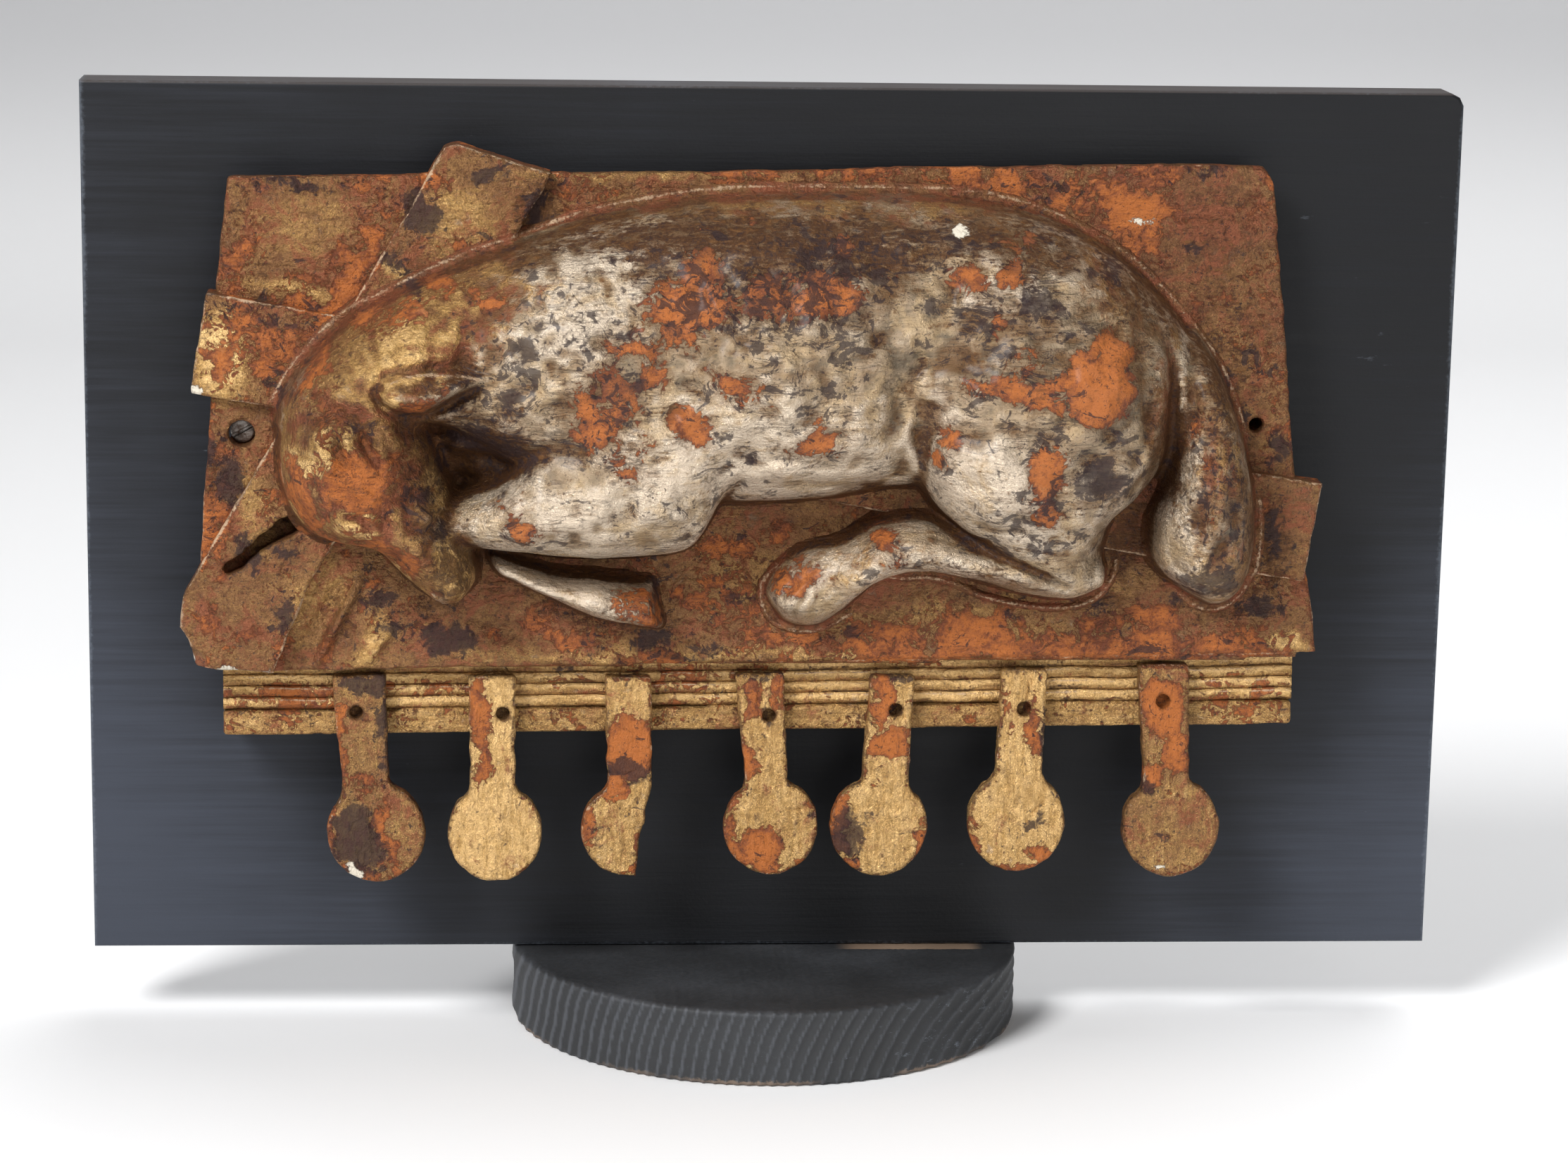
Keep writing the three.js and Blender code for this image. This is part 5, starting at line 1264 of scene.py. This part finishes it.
def seal_outline(strap, waist, disc, radius, broken):
    """Outline of one seal, with the broken edge where its side is lost."""
    left, right, top = strap
    waist_left, waist_right, waist_y = waist
    x, y = disc
    height = radius + DISC_STRETCH
    start = math.acos((waist_left - x) / radius) + SHOULDER
    end = math.acos((waist_right - x) / radius) - SHOULDER

    def rim(turn):
        return x + radius * math.cos(turn), y + height * math.sin(turn)

    def bend(a, b, c):
        return [tuple((1 - t) ** 2 * u + 2 * t * (1 - t) * v + t * t * w for u, v, w in zip(a, b, c))
                for t in (0.25, 0.5, 0.75, 1)]

    def sweep(a, b):
        return [rim(a + (b - a) * k / 48) for k in range(1, 49)]

    outline = [(left + 0.8, top), (left, top - 0.8), (waist_left, waist_y)]
    outline += bend(outline[-1], (waist_left, rim(start)[1] + SHOULDER_RISE), rim(start))
    if broken:
        outline += sweep(start, BROKEN_RIM_TURN) + BROKEN_EDGE[::-1]
    else:
        outline += sweep(start, end + math.tau)
        outline += bend(outline[-1], (waist_right, rim(end)[1] + SHOULDER_RISE), (waist_right, waist_y))
    return outline + [(right, top - 0.8), (right - 0.8, top)]


def build_seal(number, settings, look):
    """One seal, with its worn edges, its nail hole and its cracks."""
    strap, waist, disc, radius, hole = SEALS[number]
    step = settings.seal_detail * 1000
    outline = seal_outline(strap, waist, disc, radius, number == BROKEN_SEAL)
    corners = np.array(outline)
    xs, ys = (np.arange(corners[:, k].min() - 2, corners[:, k].max() + 2, step) for k in (0, 1))
    zs = np.arange(seal_back(corners[:, 1].max()) - 1, seal_back(corners[:, 1].min()) + SEAL_THICKNESS + 1, step)
    flat_x, flat_y = np.meshgrid(xs, ys, indexing="ij")
    flat = np.stack([flat_x, flat_y], -1)
    worn = 0.3 * lumps(flat, 4.5, 20 + number) + 0.22 * lumps(flat, 1.8, 30 + number)
    if number == BROKEN_SEAL:
        worn = worn + smooth_step(flat_x, -41, -37) * smooth_step(-flat_y, -80, -76) * 0.9 * lumps(flat, 3.0, 41)
    cracks = [("crack", points, half, rise) for seal, points, half, rise in SEAL_CRACKS if seal == number]
    top = 0.16 * lumps(flat, 8.0, 50 + number) + 0.1 * lumps(flat, 3.2, 60 + number) - 0.14
    top = top + stroke_relief(flat_x, flat_y, cracks)
    back = seal_back(flat_y)[..., None]
    away = outline_distance(flat_x, flat_y, outline) - worn * 0.7 + 0.25
    field = rounded_plate(away[..., None], zs, back, back + SEAL_THICKNESS + top[..., None], 1.0)
    if hole:
        reach = np.hypot(flat_x - hole[0], flat_y - hole[1]) + worn * 0.5
        field = np.maximum(field, np.minimum((NAIL_HOLE - reach)[..., None], zs - back - 1.2))
    points, quads = surface_net(field.astype(np.float32), (xs, ys, zs))
    px, py, pz = points.T
    rim = outline_distance(px, py, outline)
    side = pz < seal_back(py) + SEAL_THICKNESS - 0.9
    hole_shade = np.clip(1.5 - np.abs(np.hypot(px - hole[0], py - hole[1]) - 1.5), 0, 1) if hole else 0
    marks = {
        "worn": np.maximum(patch_field(px, py, WORN_ON_SEALS[number]), np.where(rim > -1.4, -0.7, -1.8)),
        "stain": np.maximum(patch_field(px, py, STAINS_ON_SEALS[number]), np.where(side, -1.2, -2.6)),
        "ground": patch_field(px, py, [(-122.5, 54, 2.4, 1.4, -30), (113, 53, 0.9, 0.7, 0)]),
        "golden": np.ones(len(points)),
        "glaze_and_shade": np.clip(np.where(side, 0.62, smooth_step(rim, -1.9, -0.5) * 0.62 + 0.08) + hole_shade, 0, 1.2),
        "bright_and_highlight": np.full(len(points), SEAL_BRIGHTNESS[number]),
        # Pale rims of the seal, partly wear and partly painted highlight
        "edge": np.exp(-(((rim + 0.3) / 0.9) ** 2)) * np.where(side, 0.4, 0.62),
    }
    node = f"seal_{number + 1}"
    make_piece(f"gilded_{node}", points, quads, marks, look, "gilded_seal", [node])


def build_screw(look):
    """Slotted screw, a little domed, with its shank in the board."""
    step = 0.2
    xs, ys = (np.arange(c - SCREW_HEAD - 0.6, c + SCREW_HEAD + 0.6, step) for c in SCREW_AT)
    zs = np.arange(-8.4, SCREW_SEAT + GAP + SCREW_HEAD_HEIGHT + 0.6, step)
    u, v, z = np.meshgrid(xs - SCREW_AT[0], ys - SCREW_AT[1], zs, indexing="ij")
    reach = np.hypot(u, v)
    seat = SCREW_SEAT + GAP
    head = rounded_plate(reach - SCREW_HEAD, z, seat, seat + SCREW_HEAD_HEIGHT - reach ** 2 * 0.03, 0.5)
    shank = np.maximum(reach - 1.9, np.maximum(-8 - z, z - seat - 1))
    across = np.abs(v * math.cos(SLOT_TURN) - u * math.sin(SLOT_TURN))
    field = np.maximum(np.minimum(head, shank), np.minimum(SCREW_SLOT / 2 - across, z - seat - SCREW_HEAD_HEIGHT / 2))
    points, quads = surface_net(field.astype(np.float32), (xs, ys, zs))
    make_piece("slotted_screw", points, quads, {}, look, "old_screw", ["fixing_screw"])


class Recipe(Graph):
    """A Geometry Nodes tree with named inputs, used once as a modifier and then applied."""

    def __init__(self, name, inputs):
        super().__init__(bpy.data.node_groups.new(name, "GeometryNodeTree"))
        face = self.tree.interface
        self.values = {}
        for label, (kind, value) in inputs.items():
            self.values[face.new_socket(label, in_out="INPUT", socket_type=kind).identifier] = value
        face.new_socket("Geometry", in_out="OUTPUT", socket_type="NodeSocketGeometry")
        entry = self.tree.nodes.new("NodeGroupInput")
        self.inputs = {label: Wire(self, entry.outputs[label]) for label in inputs}
        self.place = self.add("GeometryNodeInputPosition")

    def vector(self, x=0.0, y=0.0, z=0.0):
        return self.add("ShaderNodeCombineXYZ", {}, {0: x, 1: y, 2: z})

    def noise(self, size, seed, stretch=(1, 1, 1)):
        """Smooth noise from about -0.5 to 0.5."""
        where = self.add("ShaderNodeVectorMath", {"operation": "MULTIPLY_ADD"}, {
            0: self.place, 1: stretch, 2: self.vector(seed, seed * 0.7, seed * 1.3)})
        return self.add("ShaderNodeTexNoise", {}, {"Vector": where, "Scale": 1 / size, "Detail": 3.0}) - 0.5

    def moved(self, geometry, offset=None, position=None):
        sockets = {"Geometry": geometry}
        if offset is not None:
            sockets["Offset"] = offset
        if position is not None:
            sockets["Position"] = position
        return self.add("GeometryNodeSetPosition", {}, sockets)

    def finished(self, geometry, finish, name, slot, nodes):
        """Ends the tree, evaluates it once and ties the plain mesh to the frame."""
        real = self.add("GeometryNodeRealizeInstances", {}, {0: geometry})
        dressed = self.add("GeometryNodeSetMaterial", {}, {"Geometry": real, "Material": finish})
        self.add("NodeGroupOutput", {}, {0: dressed})
        piece = bpy.data.objects.new(name, bpy.data.meshes.new(name))
        bpy.context.scene.collection.objects.link(piece)
        modifier = piece.modifiers.new(name, "NODES")
        modifier.node_group = self.tree
        for identifier, value in self.values.items():
            modifier[identifier] = value
        ready = piece.evaluated_get(bpy.context.evaluated_depsgraph_get())
        mesh = bpy.data.meshes.new_from_object(ready)
        piece.modifiers.remove(modifier)
        piece.data = mesh
        mesh.name = name
        mesh.shade_smooth()
        return place(piece, finish, slot, nodes)


def build_foot(settings, look):
    """Turned foot, its growth rings raised through the paint as they are on old softwood."""
    low, high = FOOT_BOX
    recipe = Recipe("Turned foot", {
        "Radius": ("NodeSocketFloat", (high.x - low.x) / 2), "Height": ("NodeSocketFloat", high.z),
        "Edge": ("NodeSocketFloat", 0.0014), "Ring Depth": ("NodeSocketFloat", settings.ring_depth),
        "Seed": ("NodeSocketFloat", 4.0),
    })
    given = recipe.inputs
    radius, height, edge, seed = given["Radius"], given["Height"], given["Edge"], given["Seed"]
    body = recipe.add("GeometryNodeMeshCylinder", {"fill_type": "TRIANGLE_FAN"}, {
        "Vertices": 560, "Side Segments": 32, "Fill Segments": 56, "Radius": radius, "Depth": height})
    body = recipe.moved(body, offset=recipe.vector(z=height * 0.5))
    x, y, z = recipe.place.parts()
    reach = (x * x + y * y).power(0.5)
    past = (reach - (radius - edge)).larger(0)
    over = (z - (height - edge)).larger(0) - (edge - z).larger(0)
    corner = (past * past + over * over).power(0.5).larger(1e-6)
    pull = (edge / corner).smaller(1.0)
    inner = (radius - edge) / reach.larger(1e-6)
    on_edge = past.step(1e-7, 2e-7) * over.size().step(1e-7, 2e-7)
    shrink = 1 - on_edge * (1 - (inner + past * pull / reach.larger(1e-6)))
    drop = on_edge * over * (pull - 1)
    body = recipe.moved(body, position=recipe.vector(x * shrink, y * shrink, z + drop))

    # The pith runs along Y, low and to the right, so the rings are wider there
    warp = recipe.noise(0.03, seed, (1, 0.25, 1)) * 0.004 + recipe.noise(0.008, seed + 5, (1, 0.15, 1)) * 0.0008
    from_pith = ((x - 0.080).power(2.0) + (z + 0.016).power(2.0)).power(0.5) + warp
    rings = recipe.add("ShaderNodeMath", {"operation": "LOGARITHM"}, {0: 1 - from_pith / 0.30, 1: math.e}) * -62.0
    ridge = rings.wave().power(2.4)
    side = (reach - (radius - 0.002)).step(0.0, 0.0015)
    rough = recipe.noise(0.0022, seed + 9) * 0.00022 + recipe.noise(0.012, seed + 11) * 0.0003
    depth = (side * 0.85 + 0.15) * (given["Ring Depth"] * (1 - ridge)) + rough.size() * (side * 0.7 + 0.3)
    nicks = (recipe.noise(0.005, seed + 17) * 1.6 - 0.42).larger(0.0) * 0.004
    near_edge = on_edge.larger(side * (over.size() * 900).smaller(1.0))
    inward = recipe.add("ShaderNodeVectorMath", {"operation": "SCALE"}, {
        0: recipe.add("GeometryNodeInputNormal"), "Scale": 0 - depth - nicks * near_edge})
    body = recipe.moved(body, offset=inward)
    body = recipe.add("GeometryNodeStoreNamedAttribute", {"data_type": "FLOAT", "domain": "POINT"}, {
        "Geometry": body, "Name": "ridge", "Value": ridge * side})
    recipe.finished(body, foot_finish(look), "turned_foot", "foot_paint", ["round_foot"])


def build_leaves(settings, look):
    """The book's leaves between the strip and the cover: one edge, repeated upwards."""
    count = settings.leaf_count
    low = LEAVES_BOTTOM + STRIP_HEIGHT
    leaf = (BOOK_BOTTOM - GAP - low) / count
    left, right = LEAVES_OUTLINE[-2][0], LEAVES_OUTLINE[3][0]
    middle = (left + right) / 2
    deep = LEAF_INSET + 2.5
    recipe = Recipe("Gilded leaves", {
        "Leaves": ("NodeSocketInt", count), "Leaf Height": ("NodeSocketFloat", leaf * MM),
        "Length": ("NodeSocketFloat", (right - left - 0.8) * MM), "Depth": ("NodeSocketFloat", deep * MM),
        "Groove": ("NodeSocketFloat", settings.leaf_groove), "Seed": ("NodeSocketFloat", 3.0),
    })
    given = recipe.inputs
    leaf_height, depth, seed = given["Leaf Height"], given["Depth"], given["Seed"]
    one = recipe.add("GeometryNodeMeshCube", {}, {
        "Size": recipe.vector(given["Length"], depth, leaf_height * 1.02),
        "Vertices X": 340, "Vertices Y": 4, "Vertices Z": 7})
    x, y, z = recipe.place.parts()
    share = z / leaf_height + 0.5
    dip = (0.3 - share).larger(0.0).power(1.5) * 5.0 + (share - 0.9).larger(0.0) * 2.0
    front = (0 - y / depth * 2).step(0.0, 1.0)
    one = recipe.add("GeometryNodeStoreNamedAttribute", {"data_type": "FLOAT", "domain": "POINT"}, {
        "Geometry": one, "Name": "leaf_share", "Value": share})
    one = recipe.moved(one, offset=recipe.vector(y=front * dip * given["Groove"]))
    rows = recipe.add("GeometryNodeMeshLine", {}, {
        "Count": given["Leaves"], "Start Location": recipe.vector(), "Offset": recipe.vector(z=leaf_height)})
    every = recipe.add("GeometryNodeRealizeInstances", {}, {0: recipe.add("GeometryNodeInstanceOnPoints", {}, {
        "Points": rows, "Instance": one})})
    # Each leaf waves a little by itself, follows the lean of the seals' backs and lies turned with the book
    wave = recipe.noise(0.014, seed, (0.5, 1, 3)).size() * 0.0014 + recipe.noise(0.004, seed + 3).size() * 0.0008
    front = (0 - y / depth * 2).step(-0.4, 1.0)
    rise = z + recipe.noise(0.02, seed + 7, (1, 1, 0.4)) * front * 0.0022
    height = rise + x * BOOK_TURN + (low + leaf / 2 + middle * BOOK_TURN) * MM
    (y0, z0), (y1, z1) = SEAL_TILT
    lean = (height - y0 * MM) * ((z1 - z0) / (y1 - y0)) + (z0 - GAP) * MM
    every = recipe.moved(every, position=recipe.vector(
        x + middle * MM, y + depth * 0.5 - lean + BOARD_FRONT + wave * front, height))
    share = recipe.add("GeometryNodeInputNamedAttribute", {"data_type": "FLOAT"}, {"Name": "leaf_share"})
    broken = recipe.noise(0.012, seed + 25, (0.6, 1, 3))
    dark = (0.26 - share + broken * 1.6).step(0.0, 0.25) * 0.9 + (share - 0.9).step(0.0, 0.1) * 0.3
    # Each leaf is brighter towards its top with a pale rim there, partly painted highlight, and darker low down over
    # its groove
    for mark, value in (("golden", 1.0), ("worn", recipe.noise(0.03, seed + 21, (0.4, 1, 3)) * 11 - 1.2 + broken * 4),
                        ("stain", recipe.noise(0.02, seed + 31, (0.4, 1, 2)) * 6 - 3.0), ("ground", -8.0),
                        ("bright_and_highlight", 0.75 + (share - 0.35).step(0.0, 0.4) * 0.7 + broken * 2.0), ("glaze_and_shade", dark),
                        ("edge", (share - 0.55).step(0.0, 0.25) * 0.75 * (1.0 - (share - 0.9).step(0.0, 0.1)) + broken * 0.8)):
        every = recipe.add("GeometryNodeStoreNamedAttribute", {"data_type": "FLOAT", "domain": "POINT"}, {
            "Geometry": every, "Name": mark, "Value": value})
    recipe.finished(every, look, "leaves", "gilded_relief", ["lamb_and_book"])


def build_stage(settings):
    """Pale sweep, a large soft key from the upper left, a weak fill and the photograph's camera."""
    turns = [(-2.6, 0.0)] + [(1.3 + 0.9 * math.sin(a), 0.9 - 0.9 * math.cos(a)) for a in np.linspace(0, math.pi / 2, 24)]
    turns.append((2.2, 3.4))
    mesh = bpy.data.meshes.new("floor")
    mesh.from_pydata([(x, y, z) for y, z in turns for x in (-3.5, 3.5)], [],
                     [(2 * k, 2 * k + 1, 2 * k + 3, 2 * k + 2) for k in range(len(turns) - 1)])
    mesh.shade_smooth()
    floor = bpy.data.objects.new("floor", mesh)
    bpy.context.scene.collection.objects.link(floor)
    mesh.materials.append(floor_finish(settings))
    for name, place_at, aim, size, power in (
        ("key", (-1.2, -1.4, 1.6), (0, 0, 0.13), 0.9, settings.key_power),
        ("fill", (0.9, -2.1, 0.55), (0, 0, 0.13), 1.6, settings.fill_power),
        ("backdrop", (0.62, 0.52, 1.6), (0.48, 0.56, 0), 1.8, settings.backdrop_power),
    ):
        light = bpy.data.lights.new(name, "AREA")
        light.shape = "DISK"
        light.size = size
        light.energy = power
        lamp = bpy.data.objects.new(name, light)
        lamp.location = place_at
        lamp.visible_glossy = name != "backdrop"
        lamp.rotation_euler = (Vector(aim) - lamp.location).to_track_quat("-Z", "Y").to_euler()
        bpy.context.scene.collection.objects.link(lamp)
    world = bpy.data.worlds.new("Studio")
    world.use_nodes = True
    sky = Graph(world.node_tree)
    toward = sky.add("ShaderNodeTexCoord", output="Generated").parts()
    # The studio is dark overhead and paler low down and in front
    light = 0.25 + (0.75 - toward[2]).step(0.0, 0.8) * 0.75 + (0 - toward[1]).step(0.2, 1.0) * 0.2
    shade = sky.add("ShaderNodeMix", {"data_type": "RGBA"}, {0: light, 6: (0, 0, 0, 1), 7: (0.95, 0.97, 1.0, 1)}, output=2)
    back = sky.add("ShaderNodeBackground", {}, {"Color": shade, "Strength": settings.ambient})
    sky.add("ShaderNodeOutputWorld", {}, {"Surface": back})
    bpy.context.scene.world = world
    bpy.context.scene.view_settings.view_transform = "Standard"

    azimuth, elevation, roll = (math.radians(a) for a in PHOTO_VIEW)
    back = Vector((math.sin(azimuth) * math.cos(elevation), -math.cos(azimuth) * math.cos(elevation), math.sin(elevation)))
    right = (-back).cross(Vector((0, 0, 1))).normalized()
    up = right.cross(-back)
    across = right * math.cos(roll) + up * math.sin(roll)
    upward = up * math.cos(roll) - right * math.sin(roll)
    lens = bpy.data.cameras.new("photo_camera")
    lens.sensor_width = 36
    lens.lens = PHOTO_FOCUS * 36
    camera = bpy.data.objects.new("photo_camera", lens)
    turn = Matrix((across, upward, back)).transposed().to_4x4()
    camera.matrix_world = Matrix.Translation(Vector(PHOTO_TARGET) + back * PHOTO_DISTANCE) @ turn
    bpy.context.scene.collection.objects.link(camera)
    bpy.context.scene.camera = camera


def tone(name, description, value):
    return FloatVectorProperty(name=name, description=description, default=value, size=3, min=0, max=1, subtype="COLOR")


class StandSettings(bpy.types.PropertyGroup):
    """Foot, board and screw."""

    ring_depth: FloatProperty(name="Ring Depth", description="How far the growth rings of the foot stand up",
                              default=0.0005, min=0, max=0.001, unit="LENGTH")
    foot_paint: tone("Foot Paint", "Matt black on the foot", (0.022, 0.023, 0.025))
    foot_dust: tone("Foot Dust", "Grey of dust and rubbed paint on the foot", (0.078, 0.084, 0.096))
    scuff: tone("Scuffs", "Bluish white of rubbed paint", (0.30, 0.34, 0.40))
    bare_wood: tone("Bare Wood", "Pine where the paint stops", (0.30, 0.21, 0.145))
    board_rim: tone("Board Rim", "Brownish paint on the board's upper edge", (0.060, 0.050, 0.047))
    board_paint: tone("Board Paint", "Charcoal on the board", (0.0040, 0.0044, 0.0058))
    # Painted bounce light from the floor on the board's lower corners and left side
    board_bounce_light: tone("Board Haze", "Paler charcoal towards the lower corners", (0.044, 0.051, 0.069))
    steel: tone("Steel", "Screw where it is clean", (0.34, 0.31, 0.28))
    rust: tone("Rust", "Screw where it is rusted", (0.085, 0.042, 0.022))


class CarvingSettings(bpy.types.PropertyGroup):
    """Fineness of the carved pieces, and the book's leaves."""

    lamb_detail: FloatProperty(name="Lamb Detail", description="Distance between points on the lamb",
                               default=0.0009, min=0.0006, max=0.003, unit="LENGTH")
    book_detail: FloatProperty(name="Book Detail", description="Distance between points on the book",
                               default=0.00094, min=0.0007, max=0.003, unit="LENGTH")
    seal_detail: FloatProperty(name="Seal Detail", description="Distance between points on a seal",
                               default=0.0005, min=0.0004, max=0.003, unit="LENGTH")
    leaf_count: IntProperty(name="Leaves", description="Leaves that show between the covers", default=LEAF_COUNT,
                            min=2, max=12)
    leaf_groove: FloatProperty(name="Leaf Groove", description="Depth of the groove under each leaf",
                               default=0.0013, min=0.0002, max=0.003, unit="LENGTH")


class LeafSettings(bpy.types.PropertyGroup):
    """Colours of the gilding and what lies under it."""

    gold: tone("Gold", "Gold leaf where it is clean", (0.50, 0.295, 0.10))
    pale_gold: tone("Pale Gold", "Gold leaf where it was rubbed bright", (0.86, 0.56, 0.24))
    dull_gold: tone("Dull Gold", "Gold leaf under its tired varnish", (0.275, 0.143, 0.060))
    umber: tone("Umber", "Brown where the gold is thin and dirty", (0.120, 0.050, 0.027))
    silver: tone("Silver", "Silver leaf where it is clean", (0.70, 0.575, 0.435))
    aged_silver: tone("Aged Silver", "Silver leaf gone dull", (0.40, 0.295, 0.19))
    warm_silver: tone("Warm Silver", "Yellowed varnish over silver", (0.56, 0.395, 0.215))
    tan_silver: tone("Tan Silver", "Silver leaf gone yellow brown", (0.175, 0.092, 0.040))
    grey_silver: tone("Grey Silver", "Silver leaf gone olive grey", (0.15, 0.118, 0.080))
    dark_silver: tone("Dark Silver", "Silver leaf gone blue black", (0.042, 0.028, 0.020))
    # Also the colour of painted shade in the lamb's hollows, under its forms and on the book round it
    glaze_and_shade: tone("Glaze", "Brown glaze and dirt in the hollows", (0.082, 0.034, 0.0125))
    orange_bole: tone("Orange Bole", "Clay under the leaf where it is freshly bare", (0.44, 0.138, 0.036))
    red_bole: tone("Red Bole", "Clay that is rubbed and dirty", (0.175, 0.055, 0.026))
    rim_bole: tone("Bole Rim", "Dark rim where the leaf ends", (0.10, 0.030, 0.017))
    pale_bole: tone("Pale Bole", "Clay that is dusty and rubbed light", (0.55, 0.22, 0.085))
    russet: tone("Russet", "Clay that tints the gold red", (0.250, 0.080, 0.042))
    rubbed: tone("Rubbed Gold", "Red brown clay that shows through thin gold", (0.150, 0.058, 0.030))
    # Also painted highlight along rims, crests and the tops of the leaves
    rubbed_edge_and_highlight: tone("Worn Edge", "Leaf and ground rubbed pale along the edges", (0.56, 0.39, 0.25))
    amber: tone("Amber", "Brown glaze where it's thin over gold", (0.200, 0.092, 0.030))
    stain: tone("Stain", "Purple black stains", (0.032, 0.020, 0.021))
    ground: tone("White Ground", "Chalk ground in the chips", (0.77, 0.69, 0.56))
    metal: FloatProperty(name="Metal", description="How metallic the sound leaf is", default=0.55, min=0, max=1,
                         subtype="FACTOR")


class StageSettings(bpy.types.PropertyGroup):
    """Floor and light."""

    floor: tone("Floor", "Pale floor in front", (0.93, 0.93, 0.935))
    # Greyer than the floor, as painted shade where the sweep rises
    backdrop: tone("Backdrop", "Pale backdrop behind", (0.60, 0.60, 0.61))
    key_power: FloatProperty(name="Key", description="Power of the key light", default=56, min=0, subtype="POWER")
    fill_power: FloatProperty(name="Fill", description="Power of the fill light", default=15, min=0, subtype="POWER")
    backdrop_power: FloatProperty(name="Backdrop", description="Power of the light on the backdrop", default=21, min=0,
                                  subtype="POWER")
    ambient: FloatProperty(name="Ambient", description="Strength of the light from all round", default=0.24, min=0)


class RELIEF_OT_foot(bpy.types.Operator):
    """Make the turned foot"""

    bl_idname = "relief.foot"
    bl_label = "Foot"

    def execute(self, context):
        build_foot(context.scene.relief_stand, context.scene.relief_stand)
        return {"FINISHED"}


class RELIEF_OT_board(bpy.types.Operator):
    """Paint the mount board, whose shape comes from the part"""

    bl_idname = "relief.board"
    bl_label = "Board"

    def execute(self, context):
        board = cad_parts["mount_board"]
        paint = board_finish(context.scene.relief_stand)
        for k in range(len(board.material_slots)):
            board.material_slots[k].material = paint
        return {"FINISHED"}


class RELIEF_OT_book(bpy.types.Operator):
    """Make the book, its cross and its leaves"""

    bl_idname = "relief.book"
    bl_label = "Book"

    def execute(self, context):
        leaf = gilding(context)
        build_book(context.scene.relief_carving, leaf)
        build_leaves(context.scene.relief_carving, leaf)
        return {"FINISHED"}


class RELIEF_OT_lamb(bpy.types.Operator):
    """Make the lamb"""

    bl_idname = "relief.lamb"
    bl_label = "Lamb"

    def execute(self, context):
        build_lamb(context.scene.relief_carving, gilding(context))
        return {"FINISHED"}


class RELIEF_OT_seals(bpy.types.Operator):
    """Make the seven seals"""

    bl_idname = "relief.seals"
    bl_label = "Seals"

    def execute(self, context):
        for number in range(len(SEALS)):
            build_seal(number, context.scene.relief_carving, gilding(context, "worn_leaf_upright", (1.7, 1, 0.3)))
        return {"FINISHED"}


class RELIEF_OT_screw(bpy.types.Operator):
    """Make the fixing screw"""

    bl_idname = "relief.screw"
    bl_label = "Screw"

    def execute(self, context):
        build_screw(screw_finish(context.scene.relief_stand))
        return {"FINISHED"}


class RELIEF_OT_stage(bpy.types.Operator):
    """Make the floor, the lights and the camera"""

    bl_idname = "relief.stage"
    bl_label = "Stage"

    def execute(self, context):
        build_stage(context.scene.relief_stage)
        return {"FINISHED"}


GROUPS = {
    "relief_stand": StandSettings, "relief_carving": CarvingSettings, "relief_leaf": LeafSettings,
    "relief_stage": StageSettings,
}
STEPS = (
    RELIEF_OT_foot, RELIEF_OT_board, RELIEF_OT_book, RELIEF_OT_lamb, RELIEF_OT_seals, RELIEF_OT_screw,
    RELIEF_OT_stage,
)


class RELIEF_PT_panel(bpy.types.Panel):
    """Settings and steps of the relief"""

    bl_idname = "RELIEF_PT_panel"
    bl_label = "Gilded Relief Panel"
    bl_space_type = "VIEW_3D"
    bl_region_type = "UI"
    bl_category = "Relief"

    def draw(self, context):
        for name, group in GROUPS.items():
            box = self.layout.box()
            box.label(text=group.__doc__)
            for setting in group.__annotations__:
                box.prop(getattr(context.scene, name), setting)
        for step in STEPS:
            self.layout.operator(step.bl_idname)


def gilding(context, name="worn_leaf", grain=(0.32, 1, 1.7)):
    """The leaf finish, made once for each grain and shared by everything gilded that way."""
    made = bpy.data.materials.get(name)
    return made or leaf_finish(name, context.scene.relief_leaf, grain)


def register():
    for made in (*GROUPS.values(), *STEPS, RELIEF_PT_panel):
        bpy.utils.register_class(made)
    for name, group in GROUPS.items():
        setattr(bpy.types.Scene, name, PointerProperty(type=group))


def unregister():
    for name in GROUPS:
        delattr(bpy.types.Scene, name)
    for made in (RELIEF_PT_panel, *STEPS[::-1], *list(GROUPS.values())[::-1]):
        bpy.utils.unregister_class(made)


def main():
    register()
    bpy.ops.relief.foot()
    bpy.ops.relief.board()
    bpy.ops.relief.book()
    bpy.ops.relief.lamb()
    bpy.ops.relief.seals()
    bpy.ops.relief.screw()
    bpy.ops.relief.stage()


if __name__ == "__main__":
    main()
